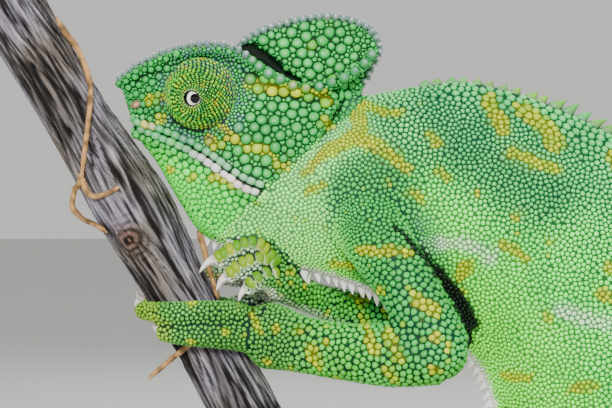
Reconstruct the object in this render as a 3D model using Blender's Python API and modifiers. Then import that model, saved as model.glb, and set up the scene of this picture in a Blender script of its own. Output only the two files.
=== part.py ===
"""A life-size Indian chameleon that grips a cut length of branch on a plain display stand.

Sizes are in millimetres and become metres as each mesh is made. The animal faces -X, its left side faces -Y,
and z is the height over the floor. A side-view place is (x, z), and a place on the left side is (x, y, z).
"""

import math

import bmesh
import bpy
import numpy as np
from mathutils import Matrix, Vector
from mathutils.bvhtree import BVHTree

MM = 0.001
GAP = 0.3
VOXEL = 0.5
SMOOTH_ROUNDS = 5

# Colours, from the skin and the wood
GREEN = (0.16, 0.50, 0.10, 1)
LEAF = (0.22, 0.58, 0.12, 1)
TEAL = (0.10, 0.42, 0.22, 1)
WOOD = (0.30, 0.26, 0.22, 1)
WALNUT = (0.10, 0.06, 0.04, 1)
STEEL = (0.62, 0.62, 0.64, 1)
EYE_BLACK = (0.01, 0.01, 0.01, 1)

# Body: (back x, z, belly x, z, half width) at each named place from the head to the root of the tail
BODY = {
    "nape": (-35.6, 158.6, -62.4, 134.8, 8.6),
    "throat": (-30.6, 159.6, -56.6, 130.6, 9.4),
    "neck": (-25.2, 160.7, -47.2, 128.6, 9.8),
    "shoulder": (-18.9, 161.8, -36.0, 125.6, 10.6),
    "chest": (-12.6, 161.8, -25.2, 120.6, 11.2),
    "hump": (4.5, 156.4, -12.8, 110.9, 12.0),
    "ribs": (22.9, 145.0, -8.0, 97.2, 12.6),
    "belly": (36.5, 126.0, 0.0, 82.4, 12.2),
    "flank": (40.1, 99.9, 12.1, 72.0, 10.2),
    "loin": (38.7, 86.4, 18.0, 68.0, 8.2),
    "vent": (36.9, 74.7, 22.1, 62.6, 6.4),
    "tail_root": (35.9, 65.0, 25.4, 58.2, 5.2),
}
HEAD_CUT = ((-31.6, 159.2), (-61.6, 131.6))
BACK_PINCH = 1.30
BELLY_PINCH = 1.05
BELLY_SAG = 0.10

# Skull: (top x, z, bottom x, z, half width at the top, half width of the cheek, its share of the depth,
# half width of the jaw) at each named place from the snout to the nape
SKULL = {
    "snout": (-76.2, 161.0, -73.9, 153.2, 1.3, 1.9, 0.50, 1.4),
    "nostril": (-73.4, 163.0, -72.6, 150.8, 2.9, 3.8, 0.52, 2.9),
    "lores": (-69.2, 165.0, -70.0, 147.2, 4.5, 5.7, 0.52, 4.4),
    "eye_front": (-64.5, 166.0, -67.6, 143.0, 5.8, 7.0, 0.52, 5.6),
    "eye_rear": (-58.0, 165.9, -65.0, 138.6, 6.6, 8.4, 0.52, 6.6),
    "temple": (-50.5, 163.2, -62.6, 135.0, 7.2, 9.8, 0.50, 7.4),
    "jaw_joint": (-42.3, 160.4, -58.5, 132.4, 7.0, 10.2, 0.45, 8.0),
    "nape": (-36.2, 159.4, -51.0, 131.0, 6.0, 9.6, 0.42, 8.4),
}

# Helmet: the middle crest's edge and its foot, as side-view places, and the crest over each eye and temple
CREST_EDGE = [(-56.6, 165.4), (-54.6, 169.2), (-50.9, 171.4), (-46.8, 172.7), (-40.1, 173.9),
              (-35.1, 173.3), (-31.1, 171.4), (-29.3, 168.3), (-30.7, 164.6), (-32.6, 160.6)]
CREST_FOOT = [(-56.0, 160.0), (-52.5, 160.0), (-49.5, 159.0), (-47.0, 158.0), (-43.0, 157.0),
              (-40.5, 156.5), (-38.5, 156.0), (-37.5, 156.0), (-36.5, 156.0), (-36.0, 155.5)]
CREST_EDGE_HALF = 0.9
CREST_FOOT_HALF = 4.2
BROW = [(-76.3, -1.4, 161.5), (-70.8, -4.4, 164.8), (-63.6, -6.2, 167.0), (-56.1, -6.9, 166.9),
        (-49.2, -7.5, 163.4), (-42.3, -7.4, 160.9), (-37.3, -5.9, 162.0), (-33.0, -3.6, 164.4),
        (-30.6, -1.2, 166.9)]
BROW_RADIUS = 1.15
MOUTH = [(-74.6, 0.0, 153.9), (-73.2, -2.9, 153.8), (-69.0, -5.6, 152.3), (-64.4, -7.4, 150.3),
         (-60.9, -8.5, 148.3), (-57.3, -9.3, 145.7), (-53.8, -9.9, 143.4), (-50.6, -10.2, 142.2)]
LIP_RADIUS = 1.4
LIP_SPREAD = 1.25
MOUTH_GROOVE = 0.26
NOSTRIL = (-73.6, -3.9, 157.4)
NOSTRIL_RADIUS = 0.55

# Eye turret: a cone of fused lids, turned about its own axis, as (radius, height) from its seat
EYE_SEAT = (-61.3, -5.0, 159.3)
EYE_LOOK = (-0.22, -0.95, -0.15)
TURRET = [(0.0, -1.0), (5.5, -1.0), (6.35, 0.6), (6.45, 1.7), (6.0, 3.4), (4.9, 5.3), (3.5, 6.7),
          (2.2, 7.5), (1.45, 7.75), (1.05, 7.55)]
EYEBALL_RADIUS = 3.4
EYEBALL_HEIGHT = 3.9
SOCKET = [(0.0, -1.0 - GAP), (5.5 + GAP, -1.0 - GAP), (6.45 + GAP, 0.6), (6.45 + GAP, 12.0), (0.0, 12.0)]

# Left foreleg and right foreleg: (x, y, z, radius in the side view, radius across it)
LEFT_FORELEG = [(-33.4, -4.0, 140.0, 8.6, 6.0), (-30.4, -10.4, 133.4, 6.4, 5.2),
                (-25.0, -15.6, 124.6, 5.4, 4.8), (-19.9, -18.6, 114.2, 5.7, 4.9),
                (-27.4, -16.9, 113.7, 5.8, 4.8), (-36.2, -13.2, 113.9, 5.1, 4.4),
                (-44.1, -9.3, 115.1, 5.2, 4.1), (-49.6, -5.4, 116.3, 6.2, 4.2)]
RIGHT_FORELEG = [(-33.4, 4.0, 140.0, 8.6, 6.0), (-28.5, 10.4, 132.4, 6.0, 5.2),
                 (-22.6, 16.0, 124.4, 4.9, 4.6), (-17.6, 19.6, 116.4, 4.8, 4.6),
                 (-26.5, 16.6, 118.0, 4.6, 4.3), (-35.0, 10.8, 120.2, 3.8, 3.6),
                 (-41.8, 4.4, 122.6, 3.1, 3.1), (-46.6, -0.6, 125.0, 3.4, 3.2)]
LEFT_HINDLEG = [(26.0, -4.0, 85.0, 8.6, 5.0), (12.0, -14.0, 91.0, 6.4, 5.2), (0.0, -21.0, 93.4, 5.2, 4.8),
                (-11.2, -16.0, 86.4, 4.9, 4.4), (-22.6, -7.0, 79.0, 4.2, 3.8)]
RIGHT_HINDLEG = [(29.0, 4.0, 82.0, 8.4, 5.0), (21.5, 14.0, 75.4, 6.2, 5.2), (12.4, 21.0, 68.2, 5.2, 4.8),
                 (0.8, 15.0, 62.6, 4.8, 4.4), (-10.6, 6.4, 58.4, 4.0, 3.8)]

# Branch: (x, z, radius) along its middle
BRANCH = [(-106.5, 193.8, 6.3), (-94.1, 171.4, 6.3), (-83.0, 153.0, 6.2), (-72.4, 135.7, 7.1),
          (-67.5, 126.4, 6.3), (-62.8, 117.9, 6.1), (-56.2, 106.2, 6.1), (-37.3, 72.9, 6.0),
          (-25.6, 52.2, 5.9), (-6.3, 18.2, 5.9)]
PERCH_FOOT_Z = 20.0
TENDRIL_RADIUS = 0.62
LONG_TENDRIL = [(-87.8, 173.2), (-86.3, 170.6), (-84.4, 168.0), (-82.8, 164.8), (-81.6, 161.3),
                (-81.4, 158.1), (-81.6, 154.5), (-82.0, 151.2), (-82.5, 147.3), (-82.8, 144.6)]
LOOP_TENDRIL = [(-82.7, 145.6), (-83.3, 143.6), (-84.8, 141.6), (-85.0, 139.1), (-83.4, 137.2),
                (-80.9, 136.0), (-78.4, 134.6)]
HOOK_TENDRIL = [(-82.8, 144.4), (-82.5, 142.9), (-81.1, 141.2), (-78.9, 141.3), (-76.0, 142.7)]
STUB_TENDRIL = [(-62.4, 116.0), (-65.1, 113.6), (-68.2, 111.0), (-71.4, 108.2)]
SIDE_TENDRIL = [(-62.4, 135.0), (-61.4, 131.6), (-60.4, 128.0), (-59.4, 124.8), (-58.6, 122.6)]

# Feet: each grips round the branch at a place on its middle, with a bundle of toes on either side
TOE_START = 8.0
CLAW_LENGTH = 3.4
CLAW_RADIUS = 0.8
CLAW_TURN = 27.0
BROAD_TOE_RADIUS = 2.75
SLIM_TOE_RADIUS = 2.1
TOE_TAPER = 0.66
# The right hand has only hooked its claws on: its toes are (x, y, z, radius) and each ends in a claw tip
RIGHT_TOES = [
    [(-48.6, -2.6, 126.6, 2.9), (-49.4, -4.4, 129.4, 2.4), (-52.2, -5.6, 131.6, 2.0),
     (-55.7, -6.2, 131.3, 1.8), (-58.4, -5.8, 129.9, 1.5), (-62.0, -5.6, 127.4, 0.0)],
    [(-48.4, -2.8, 126.2, 2.9), (-50.0, -4.8, 128.4, 2.2), (-52.6, -6.2, 129.0, 1.9),
     (-54.6, -6.6, 128.4, 1.8), (-56.4, -6.4, 127.0, 1.5), (-58.9, -6.2, 124.2, 0.0)],
    [(-48.0, -2.4, 125.2, 2.9), (-49.2, -4.6, 126.0, 2.2), (-50.8, -6.2, 126.3, 1.9),
     (-52.0, -6.6, 125.9, 1.8), (-53.0, -6.5, 124.9, 1.5), (-55.0, -6.4, 122.4, 0.0)],
    [(-48.6, -0.4, 126.2, 2.6), (-52.2, 3.6, 126.4, 2.2), (-56.4, 6.8, 126.4, 2.0),
     (-61.0, 8.4, 126.8, 1.8), (-64.4, 8.4, 127.0, 1.6), (-68.2, 7.4, 126.8, 0.0)],
    [(-48.0, -0.4, 124.8, 2.6), (-51.0, 3.8, 123.0, 2.2), (-54.6, 6.8, 121.6, 2.0),
     (-58.8, 8.4, 120.8, 1.8), (-62.2, 8.5, 120.8, 1.6), (-66.0, 7.4, 121.0, 0.0)],
]

LIMBS = {
    "left_arm": {"rows": LEFT_FORELEG, "bend": 3, "grip": (-62.8, 117.9), "start": 6.4, "climb": 11.4,
                 "end": 138.0, "bundles": (2, 3), "nodes": ("left_upper_arm", "left_forearm", "left_hand")},
    "right_arm": {"rows": RIGHT_FORELEG, "bend": 3, "palm": (-48.2, -2.2, 126.2, 3.5, 3.3),
                  "toes": RIGHT_TOES, "nodes": ("right_upper_arm", "right_forearm", "right_hand")},
    "left_leg": {"rows": LEFT_HINDLEG, "bend": 2, "grip": (-36.4, 71.3), "start": 4.6, "climb": 8.0,
                 "end": 146.0, "bundles": (3, 2), "nodes": ("left_thigh", "left_shin", "left_foot")},
    "right_leg": {"rows": RIGHT_HINDLEG, "bend": 2, "grip": (-25.0, 51.2), "start": 4.6, "climb": 8.0,
                  "end": 146.0, "bundles": (2, 3), "nodes": ("right_thigh", "right_shin", "right_foot")},
}

# Tail: a straight root, then a coil that tightens as it goes in and leans a little to the left
TAIL_ROOT = [(29.8, 0.0, 63.5, 5.6, 5.0), (31.6, 0.0, 59.0, 5.2, 4.9), (34.6, 0.0, 52.0, 4.7, 4.5),
             (35.6, 0.0, 46.0, 4.4, 4.2)]
COIL_CENTRE = (16.6, 40.6)
COIL_RADIUS = 19.0
COIL_TIGHTENING = 0.080
COIL_TURNS = 2.45
COIL_LEAN = 0.50
COIL_START_RADIUS = 4.2
TAIL_CUTS = (4, 24, 50)
TAIL_TIP_RADIUS = 0.9

# Rows of pointed scales: spacing along the ridge, height over it, radius at the root
BACK_SPINE = {"step": 2.6, "height": 1.4, "radius": 1.15, "lean": 0.5}
BELLY_SPINE = {"step": 2.7, "height": 1.5, "radius": 0.95, "lean": 0.35}
BROW_SPINE = {"step": 2.2, "height": 1.15, "radius": 0.95, "lean": 0.0}
CREST_SPINE = {"step": 2.1, "height": 0.8, "radius": 0.9, "lean": 0.0}
SPINE_SIDES = 5
SPINE_ROOT = 0.8

# Stand
BASE_LENGTH = 132.0
BASE_WIDTH = 84.0
BASE_THICKNESS = 10.0
BASE_CORNER = 18.0
BASE_EDGE = 1.2
ROD_RADIUS = 2.5
LOW_ROD_X = -7.4
HIGH_ROD_X = -24.0

# Triangles kept in each node of flesh before its rows of scales are added
BUDGET = {
    "head": 2300, "neck": 400, "torso": 1150, "tail_base": 180, "tail_bend": 260, "tail_coil": 340,
    "tail_tip": 260, "left_upper_arm": 220, "left_forearm": 280, "left_hand": 440,
    "right_upper_arm": 220, "right_forearm": 240, "right_hand": 500, "left_thigh": 200,
    "left_shin": 200, "left_foot": 440, "right_thigh": 200, "right_shin": 200, "right_foot": 440,
}


def material(name, colour, roughness, metallic=0.0):
    """A plain Principled material."""
    made = bpy.data.materials.new(name)
    made.use_nodes = True
    shader = made.node_tree.nodes["Principled BSDF"]
    shader.inputs["Base Color"].default_value = colour
    shader.inputs["Roughness"].default_value = roughness
    shader.inputs["Metallic"].default_value = metallic
    return made


def collection(name, shown=True):
    """A new collection under the scene's own."""
    made = bpy.data.collections.new(name)
    made.hide_render = not shown
    bpy.context.scene.collection.children.link(made)
    return made


def mesh_object(name, bm, where):
    """An object from a bmesh in millimetres, with its faces turned outwards and its mesh in metres."""
    bmesh.ops.recalc_face_normals(bm, faces=bm.faces)
    bmesh.ops.scale(bm, vec=(MM, MM, MM), verts=bm.verts)
    mesh = bpy.data.meshes.new(name)
    bm.to_mesh(mesh)
    bm.free()
    made = bpy.data.objects.new(name, mesh)
    where.objects.link(made)
    return made


def through(rows, count, lead=3):
    """`count` rows on a smooth curve through `rows`, even in distance along their first `lead` columns."""
    rows = np.array(rows, float)
    steps = np.linalg.norm(np.diff(rows[:, :lead], axis=0), axis=1)
    knots = np.concatenate([[0.0], np.cumsum(steps)])
    slopes = np.gradient(rows, knots, axis=0)
    places = np.linspace(0.0, knots[-1], count)
    k = np.clip(np.searchsorted(knots, places, side="right") - 1, 0, len(knots) - 2)
    width = (knots[k + 1] - knots[k])[:, None]
    t = (places - knots[k])[:, None] / width
    start = (2 * t**3 - 3 * t**2 + 1) * rows[k] + (t**3 - 2 * t**2 + t) * width * slopes[k]
    end = (3 * t**2 - 2 * t**3) * rows[k + 1] + (t**3 - t**2) * width * slopes[k + 1]
    return start + end


def loft(bm, rings):
    """Skins a closed tube over rings of equal count, with a flat cap at either end."""
    loops = [[bm.verts.new(point) for point in ring] for ring in rings]
    for low, high in zip(loops, loops[1:]):
        for i in range(len(low)):
            j = (i + 1) % len(low)
            bm.faces.new((low[i], low[j], high[j], high[i]))
    bm.faces.new(loops[0])
    bm.faces.new(reversed(loops[-1]))


def body_ring(row, sides=40):
    """A section of the trunk: narrow along the back, rounder below, widest a little under the middle."""
    back = np.array([row[0], row[1]])
    belly = np.array([row[2], row[3]])
    middle, reach = (back + belly) / 2, (back - belly) / 2
    angle = np.linspace(0.0, 2 * math.pi, sides, endpoint=False)
    along, across = np.cos(angle), np.sin(angle)
    pinch = np.where(along > 0, BACK_PINCH, BELLY_PINCH)
    side = row[4] * np.sign(across) * np.abs(across) ** pinch
    place = middle + np.outer(along - BELLY_SAG * across**2, reach)
    return np.column_stack([place[:, 0], side, place[:, 1]])


def skull_ring(row, points=12):
    """A section of the head from its top to its chin, mirrored: a flat brow, a full cheek and a jaw."""
    top, bottom = np.array(row[0:2]), np.array(row[2:4])
    brow, cheek, cheek_share, jaw = row[4:8]
    half = through([(0.0, 0.03), (brow * 0.55, 0.0), (brow, 0.05), (cheek, cheek_share), (jaw, 0.84),
                    (jaw * 0.5, 0.97), (0.0, 1.0)], points, lead=2)
    half = np.vstack([half, half[-2:0:-1] * (-1, 1)])
    place = top + np.outer(half[:, 1], bottom - top)
    return np.column_stack([place[:, 0], half[:, 0], place[:, 1]])


def path_frames(points):
    """The side and the up direction across a path at each of its points; side stays close to Y."""
    tangent = np.gradient(points, axis=0)
    tangent /= np.linalg.norm(tangent, axis=1)[:, None]
    side = np.array([0.0, 1.0, 0.0]) - tangent * tangent[:, 1:2]
    side /= np.linalg.norm(side, axis=1)[:, None]
    return side, np.cross(tangent, side)


def tube(bm, rows, sides=16, count=None):
    """A limb: an oval tube along rows of (x, y, z, radius up, radius aside), with rounded ends."""
    rows = np.array(rows, float)
    if rows.shape[1] == 4:
        rows = np.column_stack([rows, rows[:, 3]])
    if count:
        rows = through(rows, count)
    side, up = path_frames(rows[:, :3])
    angle = np.linspace(0.0, 2 * math.pi, sides, endpoint=False)
    rings = []
    for row, s, u in zip(rows, side, up):
        rings.append(row[:3] + np.outer(np.cos(angle) * row[3], u) + np.outer(np.sin(angle) * row[4], s))
    loft(bm, rings)
    for row in (rows[0], rows[-1]):
        ball(bm, row[:3], min(row[3:5]))


def ball(bm, place, radius, scale=(1, 1, 1), sides=18):
    """A closed sphere, or an oval one by its scale."""
    place, size = np.array(place, float), radius * np.array(scale, float)
    angle = np.linspace(0.0, 2 * math.pi, sides, endpoint=False)
    rings = []
    for tilt in np.radians(np.linspace(4.0, 176.0, 9)):
        ring = [(math.sin(tilt) * math.cos(a), math.sin(tilt) * math.sin(a), math.cos(tilt)) for a in angle]
        rings.append(place + np.array(ring) * size)
    loft(bm, rings)


def cone(bm, base, tip, radius, sides=SPINE_SIDES):
    """A closed cone from its base's middle to its tip."""
    base, tip = Vector(base), Vector(tip)
    turn = (tip - base).to_track_quat("Z", "Y").to_matrix().to_4x4()
    bmesh.ops.create_cone(bm, cap_ends=True, cap_tris=True, segments=sides, radius1=radius, radius2=0,
                          depth=(tip - base).length,
                          matrix=Matrix.Translation((base + tip) / 2) @ turn)


def turned(bm, profile, seat, look, sides=22):
    """A closed shape turned from a profile of (radius, height) about the line from `seat` along `look`."""
    turn = Vector(look).to_track_quat("Z", "Y").to_matrix().to_4x4()
    place = Matrix.Translation(Vector(seat)) @ turn
    verts = [bm.verts.new(place @ Vector((r, 0, h))) for r, h in profile]
    edges = [bm.edges.new(pair) for pair in zip(verts, verts[1:])]
    bmesh.ops.spin(bm, geom=verts + edges, cent=place.translation, axis=place.to_3x3() @ Vector((0, 0, 1)),
                   angle=2 * math.pi, steps=sides, use_merge=True)
    bmesh.ops.remove_doubles(bm, verts=bm.verts, dist=0.01)


def mirrored(rows):
    """The same places on the right side."""
    return [(row[0], -row[1], *row[2:]) for row in rows]


def branch_frame(x, z):
    """The branch's nearest middle point, its direction downwards, the way to the animal and its radius."""
    rows = through(BRANCH, 160, lead=2)
    i = int(np.argmin(np.hypot(rows[:, 0] - x, rows[:, 1] - z)))
    down = rows[min(i + 1, len(rows) - 1)] - rows[max(i - 1, 0)]
    down = down[:2] / np.linalg.norm(down[:2])
    toward = np.array([-down[1], down[0]])
    return rows[i, :2], down, toward, rows[i, 2]


def grip_path(limb, side, lift, shares):
    """Places on a toe's line as it wraps the branch on one side (-1 left, 1 right), `lift` over the bark."""
    middle, down, toward, radius = branch_frame(*limb["grip"])
    points = []
    for share in shares:
        turn = math.radians(TOE_START + share * (limb["end"] - TOE_START))
        flat = middle + down * (limb["start"] - limb["climb"] * share)
        flat = flat + toward * (radius + GAP + lift) * math.cos(turn)
        points.append((flat[0], side * (radius + GAP + lift) * math.sin(turn), flat[1]))
    return np.array(points), np.array([down[0], 0.0, down[1]])


def bundle_toes(limb):
    """Rows of each toe, side by side along the branch in two bundles, and the two ends of its claw."""
    for side, number in zip((-1, 1), limb["bundles"]):
        radius = BROAD_TOE_RADIUS if number == 2 else SLIM_TOE_RADIUS
        for k in range(number):
            apart = (k - (number - 1) / 2) * radius * 1.72
            reach = 1.0 - 0.10 * (k % 2)
            path, down = grip_path(limb, side, radius * 0.86, np.linspace(0.0, reach, 9))
            line = path + down * apart * np.linspace(1.0, 0.88, 9)[:, None]
            claw, _ = grip_path(limb, side, 0.35, [reach + CLAW_TURN / (limb["end"] - TOE_START)])
            tip = claw[0] + down * apart * 0.86
            sizes = radius * (1 - (1 - TOE_TAPER) * np.linspace(0.0, 1.0, 9) ** 2)
            yield np.column_stack([line, sizes]), (line[-1], tip)


def perch_bodies(bm, grow=0.0):
    """The cut branch: a round length with long shallow flutes and a swelling at its knot."""
    rows = through(BRANCH, 26, lead=2)
    points = np.column_stack([rows[:, 0], np.zeros(len(rows)), rows[:, 1]])
    side, up = path_frames(points)
    angle = np.linspace(0.0, 2 * math.pi, 16, endpoint=False)
    rings = []
    for k, (point, radius, s, u) in enumerate(zip(points, rows[:, 2], side, up)):
        share = k / len(points)
        flute = 0.16 * np.sin(3 * angle + 2.2 * share) + 0.12 * np.sin(7 * angle + 5.0 * share)
        size = radius + flute + 0.10 * math.sin(9.0 * share * math.pi) + grow
        rings.append(point + np.outer(np.cos(angle) * size, u) + np.outer(np.sin(angle) * size, s))
    loft(bm, rings)


def on_bark(x, z, sunk=0.25):
    """A tendril's middle where it lies on the near face of the branch, or beside it where it runs wide."""
    middle, _, toward, radius = branch_frame(x, z)
    aside = float(np.dot(np.array([x, z]) - middle, toward))
    depth = math.sqrt(max((radius + TENDRIL_RADIUS - sunk) ** 2 - aside**2, 0.0))
    return (x, -depth, z)


def tail_rows():
    """The whole tail as rows of (x, y, z, radius up, radius aside)."""
    rows = list(TAIL_ROOT)
    for turn in np.linspace(0.0, COIL_TURNS * 2 * math.pi, 80):
        share = turn / (COIL_TURNS * 2 * math.pi)
        reach = COIL_RADIUS * math.exp(-COIL_TIGHTENING * turn)
        walked = (1 - math.exp(-COIL_TIGHTENING * turn)) / (
            1 - math.exp(-COIL_TIGHTENING * COIL_TURNS * 2 * math.pi))
        size = COIL_START_RADIUS + (TAIL_TIP_RADIUS - COIL_START_RADIUS) * walked
        rows.append((COIL_CENTRE[0] + reach * math.cos(turn), -COIL_LEAN * turn * min(1.0, share * 6),
                     COIL_CENTRE[1] - reach * math.sin(turn), size, size * 0.94))
    return rows


def evaluated_copy(made, name, where):
    """A new object with the modifiers of `made` applied; `made` is removed."""
    graph = bpy.context.evaluated_depsgraph_get()
    mesh = bpy.data.meshes.new_from_object(made.evaluated_get(graph))
    applied = bpy.data.objects.new(name, mesh)
    where.objects.link(applied)
    bpy.data.objects.remove(made)
    return applied


def boolean(made, operation, others, where, solver="MANIFOLD"):
    """Joins or cuts `made` with a collection of closed objects, which are then removed."""
    tools = collection(made.name + "_tools", shown=False)
    for other in others:
        for owner in other.users_collection:
            owner.objects.unlink(other)
        tools.objects.link(other)
    step = made.modifiers.new("Boolean", "BOOLEAN")
    step.operation = operation
    step.operand_type = "COLLECTION"
    step.collection = tools
    step.solver = solver
    name = made.name
    applied = evaluated_copy(made, name + "_new", where)
    applied.name = name
    for other in list(tools.objects):
        bpy.data.objects.remove(other)
    bpy.data.collections.remove(tools)
    return applied


def islands(made):
    """The object's loose parts, each as an object."""
    bpy.ops.object.select_all(action="DESELECT")
    bpy.context.view_layer.objects.active = made
    made.select_set(True)
    bpy.ops.object.mode_set(mode="EDIT")
    bpy.ops.mesh.select_all(action="SELECT")
    bpy.ops.mesh.separate(type="LOOSE")
    bpy.ops.object.mode_set(mode="OBJECT")
    pieces = list(bpy.context.selected_objects)
    bpy.ops.object.select_all(action="DESELECT")
    return pieces


def largest(made):
    """Keeps only the object's largest closed surface."""
    name = made.name
    pieces = sorted(islands(made), key=surface_of)
    for piece in pieces[:-1]:
        bpy.data.objects.remove(piece)
    pieces[-1].name = name
    return pieces[-1]


def surface_of(piece):
    """The area of an object's surface."""
    return sum(face.area for face in piece.data.polygons)


def grown(made, name, where):
    """A copy of the object with its surface moved out by the gap."""
    copy = bpy.data.objects.new(name, made.data.copy())
    where.objects.link(copy)
    points = np.array([v.co for v in copy.data.vertices])
    normals = np.array([v.vector for v in copy.data.vertex_normals])
    copy.data.vertices.foreach_set("co", (points + normals * GAP * MM * 1.12).ravel())
    copy.data.update()
    return copy


def decimated(made, triangles, where):
    """The object with its surface thinned to about that many triangles."""
    bm = bmesh.new()
    bm.from_mesh(made.data)
    bmesh.ops.triangulate(bm, faces=bm.faces)
    count = len(bm.faces)
    bm.to_mesh(made.data)
    bm.free()
    name = made.name
    step = made.modifiers.new("Decimate", "DECIMATE")
    step.ratio = min(1.0, triangles / count)
    applied = evaluated_copy(made, name + "_new", where)
    applied.name = name
    return applied


def body_forms(bm):
    """The swellings of the head, trunk and tail, overlapping freely."""
    loft(bm, [body_ring(row) for row in through(list(BODY.values()), 70, lead=4)])
    loft(bm, [skull_ring(row) for row in through(list(SKULL.values()), 30, lead=4)])
    helmet(bm)
    lips(bm)
    for row in (BROW, mirrored(BROW)):
        tube(bm, [(*place, BROW_RADIUS) for place in row], sides=10, count=44)
    for sign in (-1, 1):
        ball(bm, (-60.8, sign * 3.2, 158.8), 6.9, scale=(1.0, 0.62, 1.0))
    tube(bm, tail_rows(), sides=18)


def helmet(bm):
    """The tall middle crest: a thin rounded edge over a broader foot sunk in the skull."""
    edge = through(CREST_EDGE, 26, lead=2)
    foot = through(CREST_FOOT, 26, lead=2)
    section = [(0.0, 0.0), (0.015, CREST_EDGE_HALF * 0.75), (0.06, CREST_EDGE_HALF * 1.1),
               (0.3, CREST_EDGE_HALF * 1.6), (0.62, CREST_EDGE_HALF * 2.8), (1.0, CREST_FOOT_HALF)]
    section += [(share, -wide) for share, wide in reversed(section[1:])]
    rings = []
    for high, low in zip(edge, foot):
        rings.append([(high[0] + (low[0] - high[0]) * share, wide, high[1] + (low[1] - high[1]) * share)
                      for share, wide in section])
    loft(bm, rings)


def lips(bm):
    """A raised lip above and below the line of the mouth, on both sides."""
    for rows in (MOUTH, mirrored(MOUTH)):
        for lift in (-LIP_SPREAD, LIP_SPREAD):
            line = [(x, y * 0.87, z + lift, LIP_RADIUS) for x, y, z in rows[1:]]
            tube(bm, line, sides=12, count=24)


def limb_forms(bm, name):
    """One limb: both its lengths, then the palm or sole and the toes."""
    limb = LIMBS[name]
    leg, bend = limb["rows"], limb["bend"]
    tube(bm, leg[:bend + 1], count=14)
    tube(bm, leg[bend:], count=14)
    if "toes" in limb:
        tube(bm, [leg[-1], limb["palm"]], count=4)
        for toe in limb["toes"]:
            tube(bm, toe[:-1], sides=12, count=12)
        return
    middle, down, toward, radius = branch_frame(*limb["grip"])
    palm = middle + down * limb["start"] + toward * (radius + GAP + 2.6)
    tube(bm, [leg[-1], (palm[0], leg[-1][1] * 0.35, palm[1], 4.6, 3.8)], count=5)
    ball(bm, (palm[0], 0.0, palm[1]), 4.8, scale=(0.8, 1.15, 1.05))
    for rows, _ in bundle_toes(limb):
        tube(bm, rows, sides=12)


def claws(name):
    """(base, tip, radius) of each claw of a limb."""
    limb = LIMBS[name]
    if "toes" in limb:
        for toe in limb["toes"]:
            base, tip = np.array(toe[-2][:3]), np.array(toe[-1][:3])
            yield base - (tip - base) * 0.15, tip, CLAW_RADIUS * 1.1
        return
    for _, (base, tip) in bundle_toes(limb):
        yield base, tip, CLAW_RADIUS * 1.25


def ridge(rows, count=240):
    """Even places and tangents along a line, with the distance of each from its start."""
    line = through(rows, count)
    steps = np.linalg.norm(np.diff(line, axis=0), axis=1)
    return line, np.gradient(line, axis=0), np.concatenate([[0.0], np.cumsum(steps)])


def spines_along(rows, outward, spec, start=0.0, end=0.0):
    """(place, out, lean, height, radius) of pointed scales, smaller at both ends of the row."""
    line, tangent, walked = ridge(rows)
    number = int((walked[-1] - start - end) / spec["step"])
    for k in range(number):
        i = int(np.searchsorted(walked, start + (k + 0.5) * spec["step"]))
        along = tangent[i] / np.linalg.norm(tangent[i])
        out = outward(line[i], along)
        size = min(1.0, 0.45 + 0.14 * k, 0.35 + 0.10 * (number - k)) * (1.0 + 0.12 * math.sin(2.4 * k))
        yield line[i], out, along * spec["lean"], spec["height"] * size, spec["radius"] * (0.6 + 0.4 * size)


def away_from(centre_of):
    """A function that gives the way out of the body, square to the ridge."""
    def outward(place, along):
        out = place - centre_of(place)
        out = out - along * np.dot(out, along)
        return out / np.linalg.norm(out)
    return outward


def body_centre(place):
    """The trunk's middle nearest a place on its back or belly line."""
    rows = np.array(list(BODY.values()))
    to_back = np.hypot(rows[:, 0] - place[0], rows[:, 1] - place[2])
    to_belly = np.hypot(rows[:, 2] - place[0], rows[:, 3] - place[2])
    i = int(np.argmin(np.minimum(to_back, to_belly)))
    return np.array([(rows[i, 0] + rows[i, 2]) / 2, 0.0, (rows[i, 1] + rows[i, 3]) / 2])


def scale_rows():
    """Every pointed scale's place: back, belly, both brows and the helmet's edge."""
    rows = list(BODY.values())
    back = [(row[0], 0.0, row[1]) for row in rows[2:]] + [(37.8, 0.0, 55.0)]
    belly = [(row[2], 0.0, row[3]) for row in rows[1:]]
    yield from spines_along(back, away_from(body_centre), BACK_SPINE, start=6.0)
    yield from spines_along(belly, away_from(body_centre), BELLY_SPINE, start=1.0)
    brow_out = away_from(lambda place: np.array([place[0], place[1] * 0.55, place[2] - 2.0]))
    for line in (BROW, mirrored(BROW)):
        yield from spines_along(line, brow_out, BROW_SPINE, start=0.8, end=0.6)
    crest_out = away_from(lambda place: np.array([-42.0, 0.0, 160.0]))
    edge = [(x, 0.0, z) for x, z in CREST_EDGE]
    yield from spines_along(edge, crest_out, CREST_SPINE, start=3.0, end=3.0)


def plane_between(high, low):
    """The middle of a section line in the side view and the direction across it."""
    high, low = np.array(high), np.array(low)
    middle, line = (high + low) / 2, high - low
    return np.array((middle[0], 0.0, middle[1])), np.array((line[1], 0.0, -line[0]))


def body_cuts():
    """(middle, normal, radius) of each thin cut that parts the head, neck, trunk and lengths of the tail."""
    cuts = [(*plane_between(*HEAD_CUT), 21.4)]
    for name, radius in (("neck", 20.5), ("vent", 11.5)):
        row = BODY[name]
        cuts.append((*plane_between(row[0:2], row[2:4]), radius))
    tail = np.array(tail_rows())
    for i in TAIL_CUTS:
        cuts.append((tail[i, :3], tail[i + 1, :3] - tail[i - 1, :3], tail[i, 3] + 1.0))
    return cuts


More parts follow.
